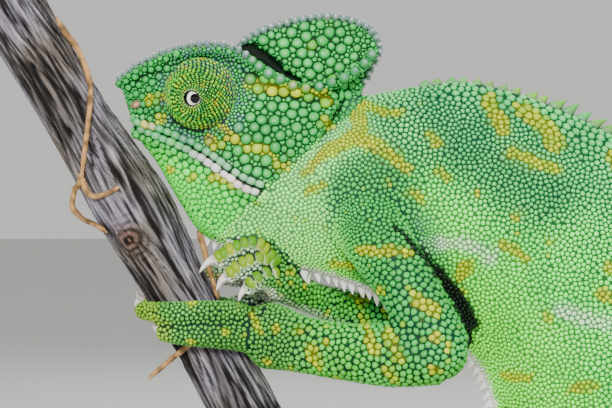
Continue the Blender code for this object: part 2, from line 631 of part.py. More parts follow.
def limb_cuts(name):
    """The thin cuts at a limb's bend and at its wrist or ankle."""
    rows = np.array(LIMBS[name]["rows"])[:, :3]
    bend = LIMBS[name]["bend"]
    before = (rows[bend] - rows[bend - 1]) / np.linalg.norm(rows[bend] - rows[bend - 1])
    after = (rows[bend + 1] - rows[bend]) / np.linalg.norm(rows[bend + 1] - rows[bend])
    last = rows[-1] - rows[-2]
    return [(rows[bend], before + after, 20.0), (rows[-1] - last * 0.5, last, 7.0)]


def body_seeds():
    """A place inside each node of the head, trunk and tail, by which its loose part is known."""
    tail = np.array(tail_rows())[:, :3]
    return {"head": (-50.0, 0.0, 152.0), "neck": (-41.0, 0.0, 146.0), "torso": (10.0, 0.0, 125.0),
            "tail_base": tail[2], "tail_bend": tail[TAIL_CUTS[0] + 10], "tail_coil": tail[TAIL_CUTS[1] + 13],
            "tail_tip": tail[TAIL_CUTS[2] + 20]}


def limb_seeds(name):
    """A place inside each node of a limb."""
    limb = LIMBS[name]
    rows = np.array(limb["rows"])[:, :3]
    bend = limb["bend"]
    upper, lower = rows[bend - 1] * 0.5 + rows[bend] * 0.5, rows[bend + 1]
    if "toes" in limb:
        end = limb["toes"][0][2][:3]
    else:
        end = next(iter(bundle_toes(limb)))[0][3][:3]
    return dict(zip(limb["nodes"], (upper, lower, end)))


def surface_tree(made):
    """A search tree over the object's faces."""
    bm = bmesh.new()
    bm.from_mesh(made.data)
    tree = BVHTree.FromBMesh(bm)
    bm.free()
    return tree


def within(tree, place):
    """Whether a place lies in a closed surface: a line out of it crosses the surface an odd number of times."""
    start, way = Vector(place) * MM, Vector((0.11, 0.97, 0.07)).normalized()
    crossed = 0
    while True:
        hit, _, _, _ = tree.ray_cast(start, way)
        if hit is None:
            return crossed % 2 == 1
        crossed += 1
        start = hit + way * 1e-6


def parted(name, bm, cuts, seeds, parts, helpers):
    """Makes one smooth surface from overlapping forms, parts it with thin cuts and names its nodes."""
    whole = mesh_object(name, bm, helpers)
    remesh = whole.modifiers.new("Remesh", "REMESH")
    remesh.mode = "VOXEL"
    remesh.voxel_size = VOXEL * MM
    soften = whole.modifiers.new("Smooth", "SMOOTH")
    soften.factor = 0.5
    soften.iterations = SMOOTH_ROUNDS
    whole = evaluated_copy(whole, name, helpers)
    tools = [disc(f"cut_{k}", *cut, helpers) for k, cut in enumerate(cuts)]
    whole = boolean(whole, "DIFFERENCE", tools, helpers)
    pieces = sorted(islands(whole), key=surface_of)[-len(seeds):]
    trees = [surface_tree(piece) for piece in pieces]
    named = {}
    for node, place in seeds.items():
        found = [piece for piece, tree in zip(pieces, trees) if within(tree, place)]
        if len(found) != 1 or found[0] in named.values():
            raise ValueError(f"{node} is in {len(found)} loose parts")
        named[node] = found[0]
    nodes = {}
    for node, piece in named.items():
        piece.name = node
        nodes[node] = decimated(piece, BUDGET[node], parts)
    for piece in list(helpers.objects):
        bpy.data.objects.remove(piece)
    return nodes


def disc(name, middle, normal, radius, where):
    """A thin round cutter, as thick as the gap between two nodes."""
    bm = bmesh.new()
    turn = Vector(normal).to_track_quat("Z", "Y").to_matrix().to_4x4()
    bmesh.ops.create_cone(bm, cap_ends=True, segments=32, radius1=radius, radius2=radius, depth=GAP,
                          matrix=Matrix.Translation(Vector(middle)) @ turn)
    return mesh_object(name, bm, where)


def box_of(made):
    """The lowest and highest corner of an object's mesh."""
    points = np.array([v.co for v in made.data.vertices])
    return points.min(axis=0), points.max(axis=0)


def make_body(parts, helpers):
    """The head, neck, trunk and tail, with their pointed scales."""
    bm = bmesh.new()
    body_forms(bm)
    nodes = parted("body", bm, body_cuts(), body_seeds(), parts, helpers)
    dress(nodes, parts, helpers)
    return nodes


def make_limbs(nodes, parts, helpers):
    """Adds each limb's nodes, cut clear of every node made before it."""
    for name, limb in LIMBS.items():
        bm = bmesh.new()
        limb_forms(bm, name)
        made = parted(name, bm, limb_cuts(name), limb_seeds(name), parts, helpers)
        for node, piece in made.items():
            low, high = box_of(piece)
            tools = []
            for other in nodes.values():
                other_low, other_high = box_of(other)
                if (low < other_high + GAP * MM).all() and (other_low - GAP * MM < high).all():
                    tools.append(grown(other, "clear_" + other.name, helpers))
            if node == limb["nodes"][-1]:
                piece = add_claws(piece, name, parts, helpers)
                tools += perch_tools(helpers, grow=GAP)
            if tools:
                piece = boolean(piece, "DIFFERENCE", tools, parts)
            made[node] = largest(piece)
        nodes.update(made)


def add_claws(piece, name, parts, helpers):
    """Fuses a limb's claws into its hand or foot."""
    tools = []
    for k, (base, tip, radius) in enumerate(claws(name)):
        bm = bmesh.new()
        cone(bm, base, tip, radius, sides=7)
        tools.append(mesh_object(f"{name}_claw_{k}", bm, helpers))
    return boolean(piece, "UNION", tools, parts)


def dress(nodes, parts, helpers):
    """Adds the pointed scales where they meet the surface, and cuts the mouth, nostrils and eye sockets."""
    trees = {name: surface_tree(node) for name, node in nodes.items()}
    cuts = body_cuts()
    tools = {name: [] for name in nodes}
    for k, (place, out, lean, height, radius) in enumerate(scale_rows()):
        hits = []
        for name, tree in trees.items():
            hit = tree.ray_cast(Vector(place + out * 4.0) * MM, Vector(-out), 9.0 * MM)
            if hit[0] is not None:
                hits.append((hit[3], name, np.array(hit[0]) / MM))
        if not hits:
            continue
        _, name, foot = min(hits)[:3]
        if not all(clear_of(foot, radius, cut) for cut in cuts):
            continue
        bm = bmesh.new()
        cone(bm, foot - out * SPINE_ROOT, foot + (out + lean) * height, radius)
        tools[name].append(mesh_object(f"scale_{k}", bm, helpers))
    for name in nodes:
        if tools[name]:
            nodes[name] = boolean(nodes[name], "UNION", tools[name], parts)
    cutters = head_cutters(helpers) + perch_tools(helpers, grow=GAP)
    nodes["head"] = boolean(nodes["head"], "DIFFERENCE", cutters, parts)
    for name in nodes:
        nodes[name] = largest(nodes[name])


def clear_of(place, radius, cut):
    """Whether a scale's root stands clear of a cut."""
    middle, normal, reach = cut
    normal = np.array(normal) / np.linalg.norm(normal)
    offset = place - middle
    across = abs(float(np.dot(offset, normal)))
    return across > radius + GAP or np.linalg.norm(offset) > reach + radius


def head_cutters(helpers):
    """What is cut from the head: both eye sockets, the mouth's line and the nostrils."""
    tools = []
    for side, name in ((1, "left"), (-1, "right")):
        bm = bmesh.new()
        turned(bm, SOCKET, (EYE_SEAT[0], side * EYE_SEAT[1], EYE_SEAT[2]),
               (EYE_LOOK[0], side * EYE_LOOK[1], EYE_LOOK[2]))
        tools.append(mesh_object(name + "_socket", bm, helpers))
        bm = bmesh.new()
        place = Vector((NOSTRIL[0], side * NOSTRIL[1], NOSTRIL[2]))
        cone(bm, place + Vector((-0.5, -side * 0.9, 0.3)), place + Vector((0.8, side * 1.6, -0.4)),
             NOSTRIL_RADIUS * 1.5, sides=10)
        tools.append(mesh_object(name + "_nostril", bm, helpers))
    tools.append(mouth_cutter(helpers))
    return tools


def mouth_cutter(helpers):
    """A thin blade that follows the line of the mouth round the front of the snout."""
    left = through(MOUTH, 22)
    line = np.vstack([left[:0:-1], left * (1, -1, 1)])
    bm = bmesh.new()
    rings = []
    for k, point in enumerate(line):
        out = np.array([-0.35, point[1] / 8.0, 0.0])
        out = out / np.linalg.norm(out)
        far, near = point + out * 3.0, point - out * 0.9
        end = MOUTH_GROOVE * (0.4 if k in (0, len(line) - 1) else 1.0)
        high, low = np.array((0.0, 0.0, end)), np.array((0.0, 0.0, end * 0.5))
        rings.append([near + low, far + high, far - high, near - low])
    loft(bm, rings)
    return mesh_object("mouth_line", bm, helpers)


def make_eyes(parts, helpers):
    """Both eye turrets, hollow round the eyeball that shows through the small opening of the lids."""
    cavity = EYEBALL_RADIUS + GAP
    start = math.asin(TURRET[-1][0] / cavity)
    inner = [(cavity * math.sin(a), EYEBALL_HEIGHT + cavity * math.cos(a))
             for a in np.linspace(start, math.pi, 9)]
    inner[-1] = (0.0, inner[-1][1])
    for side, name in ((1, "left"), (-1, "right")):
        seat = (EYE_SEAT[0], side * EYE_SEAT[1], EYE_SEAT[2])
        look = (EYE_LOOK[0], side * EYE_LOOK[1], EYE_LOOK[2])
        bm = bmesh.new()
        turned(bm, TURRET + inner, seat, look, sides=22)
        turret = mesh_object(name + "_eye_turret", bm, parts)
        turret.data.materials.append(bpy.data.materials["turret_skin"])
        bm = bmesh.new()
        turn = Vector(look).to_track_quat("Z", "Y").to_matrix().to_4x4()
        middle = Vector(seat) + Vector(look).normalized() * EYEBALL_HEIGHT
        bmesh.ops.create_uvsphere(bm, u_segments=14, v_segments=8, radius=EYEBALL_RADIUS,
                                  matrix=Matrix.Translation(middle) @ turn)
        eyeball = mesh_object(name + "_eyeball", bm, parts)
        eyeball.data.materials.append(bpy.data.materials["eyeball"])


def perch_tools(helpers, grow=0.0):
    """The branch and each dry tendril on it as closed forms, larger by `grow`."""
    bm = bmesh.new()
    perch_bodies(bm, grow)
    tools = [mesh_object("branch_form", bm, helpers)]
    for k, line in enumerate((LONG_TENDRIL, LOOP_TENDRIL, HOOK_TENDRIL, STUB_TENDRIL, SIDE_TENDRIL)):
        bm = bmesh.new()
        rows = [(*on_bark(x, z), TENDRIL_RADIUS + grow) for x, z in line]
        if line is STUB_TENDRIL:
            rows = [(x, -3.6, z, TENDRIL_RADIUS + grow) for x, z in line]
        points = through(rows, 2 * len(line))
        side, up = path_frames(points[:, :3])
        angle = np.linspace(0.0, 2 * math.pi, 5, endpoint=False)
        loft(bm, [p[:3] + np.outer(np.cos(angle) * p[3], u) + np.outer(np.sin(angle) * p[3], s)
                  for p, s, u in zip(points, side, up)])
        tools.append(mesh_object(f"tendril_{k}", bm, helpers))
    return tools


def make_perch(parts, helpers):
    """The branch with its dry tendrils, cut level at its foot."""
    branch, *tendrils = perch_tools(helpers)
    branch.name = "perch"
    perch = boolean(branch, "UNION", tendrils, parts)
    bm = bmesh.new()
    bmesh.ops.create_cube(bm, size=1.0, matrix=Matrix.Translation((-6.0, 0.0, PERCH_FOOT_Z - 25.0))
                          @ Matrix.Diagonal((60.0, 60.0, 50.0, 1)))
    perch = boolean(perch, "DIFFERENCE", [mesh_object("level_cut", bm, helpers)], parts)
    return largest(perch)


def make_stand(parts, helpers):
    """A flat base and two short rods: one under the branch's foot and one under its lower side."""
    bm = bmesh.new()
    across, along = BASE_WIDTH / 2 - BASE_CORNER, BASE_LENGTH / 2 - BASE_CORNER
    outline = []
    corners = ((along, across, 0), (-along, across, 90), (-along, -across, 180), (along, -across, 270))
    for cx, cy, turn in corners:
        for a in np.radians(np.linspace(turn, turn + 90, 8)):
            outline.append((cx + BASE_CORNER * math.cos(a), cy + BASE_CORNER * math.sin(a)))
    inset = 1 - BASE_EDGE / (BASE_WIDTH / 2)
    rings = [[(x * s, y * s, z) for x, y in outline] for s, z in
             ((1.0, 0.0), (1.0, BASE_THICKNESS - BASE_EDGE), (inset, BASE_THICKNESS))]
    loft(bm, rings)
    base = mesh_object("stand_base", bm, parts)
    base.data.materials.append(bpy.data.materials["walnut"])
    for name, x in (("stand_rod_low", LOW_ROD_X), ("stand_rod_high", HIGH_ROD_X)):
        middle, down, toward, radius = branch_frame(x, PERCH_FOOT_Z if name == "stand_rod_low" else 40.0)
        top = PERCH_FOOT_Z - GAP if name == "stand_rod_low" else 60.0
        bm = bmesh.new()
        low = BASE_THICKNESS + GAP
        bmesh.ops.create_cone(bm, cap_ends=True, segments=20, radius1=ROD_RADIUS, radius2=ROD_RADIUS,
                              depth=top - low, matrix=Matrix.Translation((x, 0.0, (top + low) / 2)))
        rod = mesh_object(name, bm, parts)
        if name == "stand_rod_high":
            bm = bmesh.new()
            perch_bodies(bm, grow=GAP)
            rod = boolean(rod, "DIFFERENCE", [mesh_object("rod_seat", bm, helpers)], parts)
            rod = lowest(rod)
        rod.data.materials.append(bpy.data.materials["steel"])


def lowest(made):
    """Keeps only the loose part that reaches lowest."""
    name = made.name
    pieces = islands(made)
    pieces.sort(key=lambda piece: min(v.co.z for v in piece.data.vertices))
    for piece in pieces[1:]:
        bpy.data.objects.remove(piece)
    pieces[0].name = name
    return pieces[0]


def main():
    for old in list(bpy.data.objects):
        bpy.data.objects.remove(old)
    parts = collection("chameleon")
    helpers = collection("helpers", shown=False)
    skins = {
        "green_skin": (GREEN, 0.55), "leaf_skin": (LEAF, 0.55), "turret_skin": (TEAL, 0.5),
        "bark": (WOOD, 0.85), "walnut": (WALNUT, 0.4), "eyeball": (EYE_BLACK, 0.08),
    }
    for name, (colour, roughness) in skins.items():
        material(name, colour, roughness)
    material("steel", STEEL, 0.25, 1.0)
    nodes = make_body(parts, helpers)
    make_limbs(nodes, parts, helpers)
    for name, node in nodes.items():
        skin = "leaf_skin" if name in ("neck", "torso") else "green_skin"
        node.data.materials.clear()
        node.data.materials.append(bpy.data.materials[skin])
    make_eyes(parts, helpers)
    perch = make_perch(parts, helpers)
    perch.data.materials.clear()
    perch.data.materials.append(bpy.data.materials["bark"])
    make_stand(parts, helpers)
    for made in parts.objects:
        made.data.shade_smooth()
        made.data.set_sharp_from_angle(angle=math.radians(40))


if __name__ == "__main__":
    main()
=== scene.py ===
"""Dresses the solids of a life-size indian chameleon in its skin, scales, crests, eyes, claws and bark.

Lengths in the tables are millimetres, as in the part's own source. Each finished mesh is in metres.
"""

import math
from types import SimpleNamespace

import bmesh
import bpy
import numpy as np
from mathutils import Matrix, Vector, noise
from mathutils.bvhtree import BVHTree
from mathutils.kdtree import KDTree


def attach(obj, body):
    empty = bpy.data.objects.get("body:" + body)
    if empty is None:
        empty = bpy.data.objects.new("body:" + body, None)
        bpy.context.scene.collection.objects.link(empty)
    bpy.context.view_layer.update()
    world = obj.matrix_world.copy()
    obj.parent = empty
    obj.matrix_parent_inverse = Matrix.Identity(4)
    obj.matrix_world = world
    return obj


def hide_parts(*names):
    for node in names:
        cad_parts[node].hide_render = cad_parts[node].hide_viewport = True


bl_info = {
    "name": "Indian Chameleon Model",
    "version": (1, 0, 0),
    "blender": (4, 5, 0),
    "location": "View3D > Sidebar > Chameleon",
    "description": "Skin, scales, crests, eyes, claws and perch of a life-size chameleon model",
    "category": "Add Mesh",
}

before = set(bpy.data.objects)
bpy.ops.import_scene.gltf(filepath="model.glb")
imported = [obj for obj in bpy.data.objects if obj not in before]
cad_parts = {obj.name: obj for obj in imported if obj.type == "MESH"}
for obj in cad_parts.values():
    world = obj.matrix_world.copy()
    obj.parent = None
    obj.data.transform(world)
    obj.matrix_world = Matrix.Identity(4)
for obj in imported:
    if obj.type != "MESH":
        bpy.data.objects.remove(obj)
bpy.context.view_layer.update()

MM = 0.001
GAP = 0.3
SKIN_GAP = 0.35
VOXEL = 0.5
SMOOTH_ROUNDS = 5
SEED = 11
FAR = 1e9

# Body: (back x, z, belly x, z, half width) from the nape to the root of the tail
BODY = [
    (-35.6, 158.6, -62.4, 134.8, 8.6), (-30.6, 159.6, -56.6, 130.6, 9.4), (-25.2, 160.7, -47.2, 128.6, 9.8),
    (-18.9, 161.8, -36.0, 125.6, 10.6), (-12.6, 161.8, -25.2, 120.6, 11.2), (4.5, 156.4, -12.8, 110.9, 12.0),
    (22.9, 145.0, -8.0, 97.2, 12.6), (36.5, 126.0, 0.0, 82.4, 12.2), (40.1, 99.9, 12.1, 72.0, 10.2),
    (38.7, 86.4, 18.0, 68.0, 8.2), (36.9, 74.7, 22.1, 62.6, 6.4), (35.9, 65.0, 25.4, 58.2, 5.2),
]
HEAD_CUT = ((-31.6, 159.2), (-61.6, 131.6))
SHOULDER_CUT = ((-18.9, 161.8), (-36.0, 125.6))
BACK_PINCH = 1.30
BELLY_PINCH = 1.05
BELLY_SAG = 0.10

# Skull: (top x, z, bottom x, z, half width of brow, of cheek, its share of the depth, half width of jaw)
SKULL = [
    (-76.2, 161.0, -73.9, 153.2, 1.3, 1.9, 0.50, 1.4), (-73.4, 163.0, -72.6, 150.8, 2.9, 3.8, 0.52, 2.9),
    (-69.2, 165.0, -70.0, 147.2, 4.5, 5.7, 0.52, 4.4), (-64.5, 166.0, -67.6, 143.0, 5.8, 7.0, 0.52, 5.6),
    (-58.0, 165.9, -65.0, 138.6, 6.6, 8.4, 0.52, 6.6), (-50.5, 163.2, -62.6, 135.0, 7.2, 9.8, 0.50, 7.4),
    (-42.3, 160.4, -58.5, 132.4, 7.0, 10.2, 0.45, 8.0), (-36.2, 159.4, -51.0, 131.0, 6.0, 9.6, 0.42, 8.4),
]
CREST_EDGE = [
    (-56.6, 165.4), (-54.6, 169.2), (-50.9, 171.4), (-46.8, 172.7), (-40.1, 173.9), (-35.1, 173.3), (-31.1, 171.4),
    (-29.3, 168.3), (-30.7, 164.6), (-32.6, 160.6),
]
CREST_FOOT = [
    (-56.0, 160.0), (-52.5, 160.0), (-49.5, 159.0), (-47.0, 158.0), (-43.0, 157.0), (-40.5, 156.5), (-38.5, 156.0),
    (-37.5, 156.0), (-36.5, 156.0), (-36.0, 155.5),
]
SAIL_MIDDLE = (-42.0, 0.0, 160.0)
BACK_ROW_END = (37.8, 0.0, 55.0)
CREST_EDGE_HALF = 0.9
CREST_FOOT_HALF = 4.2
BROW = [
    (-76.3, -1.4, 161.5), (-70.8, -4.4, 164.8), (-63.6, -6.2, 167.0), (-56.1, -6.9, 166.7), (-49.4, -7.5, 162.5),
    (-43.4, -7.4, 160.0), (-37.7, -5.9, 161.3), (-33.0, -3.6, 164.2), (-30.6, -1.2, 166.9),
]
BROW_RADIUS = 1.15
MOUTH = [
    (-74.6, 0.0, 153.9), (-73.2, -2.9, 153.8), (-69.0, -5.6, 152.3), (-64.4, -7.4, 150.3), (-60.9, -8.5, 148.3),
    (-57.3, -9.3, 145.7), (-53.8, -9.9, 143.4), (-50.6, -10.2, 142.2),
]
LIP_RADIUS = 1.4
LIP_SPREAD = 1.25
MOUTH_END = -48.0
MOUTH_DEPTH = 0.55
MOUTH_WIDTH = 0.42
NOSTRIL = (-74.3, -3.4, 157.5)
NOSTRIL_DEPTH = 0.7
NOSTRIL_WIDTH = 0.75

# Eye turret, turned about its own axis: (radius, height) from its seat
EYE_SEAT = (-61.3, -5.0, 159.3)
EYE_LOOK = (-0.22, -0.95, -0.15)
TURRET = [(5.5, -1.0), (6.35, 0.6), (6.45, 1.7), (6.0, 3.4), (4.9, 5.3), (3.5, 6.7), (2.2, 7.5), (1.45, 7.75)]
RIM = [(1.42, 7.70), (1.30, 7.70), (1.22, 7.56), (1.22, 7.30), (1.30, 7.05)]
EYEBALL_RADIUS = 3.4
EYEBALL_HEIGHT = 4.15
SOCKET = (-60.8, 3.2, 158.8)
SOCKET_RADIUS = 6.9
SOCKET_SCALE = (1.0, 0.62, 1.0)
LID_CORNER = (0.95, 0.0, -0.30)
EYE_FIELD = 8.3
OPENING_RADIUS = 1.30
LID_TOP = 5.0
RIM_OUTSIDE, RIM_INSIDE, RIM_FOOT = 1.5, 1.36, 6.6
GAZE = (0.165, 0.0, -0.012)
TURRET_REACH, TURRET_SPAN = 6.3, (-3.0, 9.0)
PUPIL_DEGREES = 15.5
IRIS_DEGREES = 25.0

# Legs: (x, y, z, radius in the side view, radius across it)
LEFT_FORELEG = [
    (-33.4, -4.0, 140.0, 8.6, 6.0), (-30.4, -10.4, 133.4, 6.4, 5.2), (-25.0, -15.6, 124.6, 5.4, 4.8),
    (-19.9, -18.6, 114.2, 5.7, 4.9), (-27.4, -16.9, 113.7, 5.8, 4.8), (-36.2, -13.2, 113.9, 5.1, 4.4),
    (-44.1, -9.3, 115.1, 5.2, 4.1), (-49.6, -5.4, 116.3, 6.2, 4.2),
]
RIGHT_FORELEG = [
    (-33.4, 4.0, 140.0, 8.6, 6.0), (-28.5, 10.4, 132.4, 6.0, 5.2), (-22.6, 16.0, 124.4, 4.9, 4.6),
    (-17.6, 19.6, 116.4, 4.8, 4.6), (-26.5, 16.6, 118.0, 4.6, 4.3), (-35.0, 10.8, 120.2, 3.8, 3.6),
    (-41.8, 4.4, 122.6, 3.1, 3.1), (-46.6, -0.6, 125.0, 3.4, 3.2),
]
LEFT_HINDLEG = [
    (26.0, -4.0, 85.0, 8.6, 5.0), (12.0, -14.0, 91.0, 6.4, 5.2), (0.0, -21.0, 93.4, 5.2, 4.8),
    (-11.2, -16.0, 86.4, 4.9, 4.4), (-22.6, -7.0, 79.0, 4.2, 3.8),
]
RIGHT_HINDLEG = [
    (29.0, 4.0, 82.0, 8.4, 5.0), (21.5, 14.0, 75.4, 6.2, 5.2), (12.4, 21.0, 68.2, 5.2, 4.8),
    (0.8, 15.0, 62.6, 4.8, 4.4), (-10.6, 6.4, 58.4, 4.0, 3.8),
]
RIGHT_TOES = [
    [(-48.6, -2.6, 126.6, 2.9), (-49.4, -4.4, 129.4, 2.4), (-52.2, -5.6, 131.6, 2.0), (-55.7, -6.2, 131.3, 1.8),
    (-58.4, -5.8, 129.9, 1.5), (-62.0, -5.6, 127.4, 0.0)],
    [(-48.4, -2.8, 126.2, 2.9), (-50.0, -4.8, 128.4, 2.2), (-52.6, -6.2, 129.0, 1.9), (-54.6, -6.6, 128.4, 1.8),
    (-56.4, -6.4, 127.0, 1.5), (-58.9, -6.2, 124.2, 0.0)],
    [(-48.0, -2.4, 125.2, 2.9), (-49.2, -4.6, 126.0, 2.2), (-50.8, -6.2, 126.3, 1.9), (-52.0, -6.6, 125.9, 1.8),
    (-53.0, -6.5, 124.9, 1.5), (-55.0, -6.4, 122.4, 0.0)],
    [(-48.6, -0.4, 126.2, 2.6), (-52.2, 3.6, 126.4, 2.2), (-56.4, 6.8, 126.4, 2.0), (-61.0, 8.4, 126.8, 1.8),
    (-64.4, 8.4, 127.0, 1.6), (-68.2, 7.4, 126.8, 0.0)],
    [(-48.0, -0.4, 124.8, 2.6), (-51.0, 3.8, 123.0, 2.2), (-54.6, 6.8, 121.6, 2.0), (-58.8, 8.4, 120.8, 1.8),
    (-62.2, 8.5, 120.8, 1.6), (-66.0, 7.4, 121.0, 0.0)],
]
TOE_START = 8.0
CLAW_TURN = 27.0
CLAW_ROOT = 0.9
BROAD_TOE_RADIUS = 2.75
SLIM_TOE_RADIUS = 2.1
TOE_TAPER = 0.66
SOLE_RADIUS = 4.8
SOLE_SCALE = (0.8, 1.15, 1.05)
LIMBS = {
    "left_foreleg": {"rows": LEFT_FORELEG, "bend": 3, "grip": (-62.8, 117.9), "start": 6.4, "climb": 11.4,
                     "end": 138.0, "bundles": (2, 3)},
    "right_foreleg": {"rows": RIGHT_FORELEG, "bend": 3, "palm": (-48.2, -2.2, 126.2, 3.5, 3.3),
                      "toes": RIGHT_TOES},
    "left_hindleg": {"rows": LEFT_HINDLEG, "bend": 2, "grip": (-36.4, 71.3), "start": 4.6, "climb": 8.0,
                     "end": 146.0, "bundles": (3, 2)},
    "right_hindleg": {"rows": RIGHT_HINDLEG, "bend": 2, "grip": (-25.0, 51.2), "start": 4.6, "climb": 8.0,
                      "end": 146.0, "bundles": (2, 3)},
}

# Tail: a straight root, then a coil that tightens as it goes in
TAIL_ROOT = [
    (29.8, 0.0, 63.5, 5.6, 5.0), (31.6, 0.0, 59.0, 5.2, 4.9), (34.6, 0.0, 52.0, 4.7, 4.5),
    (35.6, 0.0, 46.0, 4.4, 4.2),
]
COIL_CENTRE = (16.6, 40.6)
COIL_RADIUS = 19.0
COIL_TIGHTENING = 0.080
COIL_TURNS = 2.45
COIL_LEAN = 0.50
COIL_START_RADIUS = 4.2
TAIL_TIP_RADIUS = 0.9

# Branch: (x, z, radius) along its middle, and the dry tendrils that lie on it
BRANCH = [
    (-106.5, 193.8, 6.3), (-94.1, 171.4, 6.3), (-83.0, 153.0, 6.2), (-72.4, 135.7, 7.1), (-67.5, 126.4, 6.3),
    (-62.8, 117.9, 6.1), (-56.2, 106.2, 6.1), (-37.3, 72.9, 6.0), (-25.6, 52.2, 5.9), (-6.3, 18.2, 5.9),
]
TENDRIL_RADIUS = 0.58
TENDRILS = [
    [(-87.8, 173.2), (-86.3, 170.6), (-84.4, 168.0), (-82.8, 164.8), (-81.6, 161.3), (-81.4, 158.1), (-81.6, 154.5),
    (-82.0, 151.2), (-82.5, 147.3), (-82.8, 144.6)],
    [(-82.7, 145.6), (-83.3, 143.6), (-84.8, 141.6), (-85.0, 139.1), (-83.4, 137.2), (-80.9, 136.0),
    (-78.4, 134.6)],
    [(-82.8, 144.4), (-82.5, 142.9), (-81.1, 141.2), (-78.9, 141.3), (-76.0, 142.7)],
    [(-62.4, 116.0), (-65.1, 113.6), (-68.2, 111.0), (-71.4, 108.2)],
    [(-62.4, 135.0), (-61.4, 131.6), (-60.4, 128.0), (-59.4, 124.8), (-58.6, 122.6)],
]

# Markings and painted shadows: each stroke is its half width, then the x and z of its places in the side view
HEAD_YELLOW = [
    (0.9, -53.4, 160.9, -48.2, 160.3, -44.0, 159.3, -40.7, 159.1, -38.4, 158.0),
    (0.8, -39.8, 154.4, -38.4, 153.1, -38.1, 151.5), (0.45, -43.4, 165.5), (0.4, -42.2, 168.5), (1.0, -68.8, 154.7),
    (0.8, -71.1, 153.6), (1.0, -60.0, 151.2, -59.0, 150.2),
    (0.9, -56.7, 152.1, -54.1, 150.2, -51.5, 149.5, -49.2, 147.9, -47.3, 146.1, -43.4, 146.1, -41.7, 146.9),
    (0.7, -71.7, 158.3, -68.2, 159.0), (0.8, -58.4, 154.4, -57.1, 152.7), (1.0, -63.3, 144.3),
    (1.0, -59.3, 144.3, -54.8, 142.7), (0.8, -67.2, 145.6),
]
BODY_YELLOW = [
    (1.4, -33.6, 160.5, -33.9, 156.6, -33.6, 153.0, -35.5, 151.1, -38.8, 149.4), (0.9, -38.8, 149.4, -43.4, 145.2),
    (1.3, -33.6, 151.4, -30.4, 149.8, -25.3, 146.0), (0.8, -33.6, 158.0, -28.8, 156.3, -26.2, 155.8),
    (0.7, -43.0, 142.0, -40.1, 143.0), (0.7, -28.7, 143.5, -28.1, 142.5), (0.6, -32.7, 144.6),
    (0.9, -21.1, 152.0, -19.8, 150.1), (0.9, -19.8, 145.4, -18.2, 144.4), (0.8, -24.9, 141.9, -23.0, 140.6),
    (1.5, -10.3, 158.7, -8.8, 155.1, -8.1, 153.2), (0.9, -6.9, 149.2, -2.5, 146.9, 1.6, 146.0),
    (1.7, -4.0, 156.7, 0.1, 152.7, 1.3, 150.4), (0.6, -12.9, 141.6), (0.7, -6.3, 137.1), (0.7, -5.9, 134.6),
    (0.9, -8.5, 132.7, -4.4, 130.5), (0.6, -0.9, 133.0), (1.2, -14.8, 129.0, -16.0, 127.0),
    (1.4, 8.6, 124.2, 10.7, 123.3), (1.3, 10.2, 128.6), (0.6, -0.9, 130.7), (0.8, -38.3, 128.9, -34.6, 128.1),
    (0.8, -15.5, 124.1), (1.1, -1.0, 119.8), (1.1, 3.4, 107.3, 7.2, 107.9), (0.9, -8.1, 109.1, -3.7, 109.1),
    (1.4, 15.7, 117.5, 17.8, 114.9), (1.3, 17.4, 131.6, 19.9, 129.5), (1.4, 24.5, 122.8),
    (1.4, 26.2, 108.8, 28.3, 106.1), (1.6, 15.7, 101.7), (1.4, 8.6, 98.2), (1.3, 1.6, 96.5), (1.4, 24.5, 96.5),
    (1.7, 12.0, 148.0, 15.0, 143.5), (1.6, 27.0, 136.0, 29.0, 132.0), (1.3, 31.0, 88.0),
]
BODY_PALE = [
    (1.2, -22.4, 132.1, -16.7, 133.0, -10.3, 131.1, -11.0, 129.5), (1.4, 1.6, 121.1, 6.0, 119.6, 12.5, 118.0),
]
ARM_YELLOW = [
    (0.9, -33.9, 131.8, -28.0, 131.6, -25.3, 131.3), (0.9, -30.6, 124.7), (1.2, -24.2, 123.4, -20.9, 121.8),
    (0.9, -32.7, 118.5, -31.1, 114.1), (0.8, -29.1, 117.7, -27.0, 113.3), (0.9, -29.4, 111.3, -27.9, 109.2),
    (0.9, -42.5, 114.9, -40.8, 111.3), (0.8, -39.6, 115.7), (0.9, -44.5, 117.7), (0.8, -48.5, 117.7),
    (0.9, -62.8, 123.0), (1.1, -20.9, 117.3), (0.9, -18.5, 115.3), (1.1, -20.9, 111.2),
    (0.6, -52.7, 120.4, -51.4, 117.3), (0.7, -57.1, 117.3), (0.8, -63.2, 115.3), (0.8, -49.8, 111.6),
    (0.8, -45.7, 110.8), (0.8, -37.6, 108.8),
]
SHOULDER = [(-31.5, 141.5), (-29.5, 135.5), (-26.0, 127.0), (-22.0, 119.0)]
WITHERS = [(-24.0, 154.0), (-14.0, 151.0), (-3.0, 143.0)]
# Painted shadow: the near-black band where shade falls in the gap behind the left upper arm and elbow
ARM_SHADOW = [
    (0.35, -27.7, 136.2, -25.2, 133.5), (0.55, -25.2, 133.5, -20.0, 127.9),
    (0.95, -20.0, 127.9, -17.6, 124.9, -15.5, 121.6), (1.3, -15.5, 121.6, -13.9, 118.4),
    (0.7, -13.9, 118.4, -14.2, 115.6, -15.4, 113.2),
]
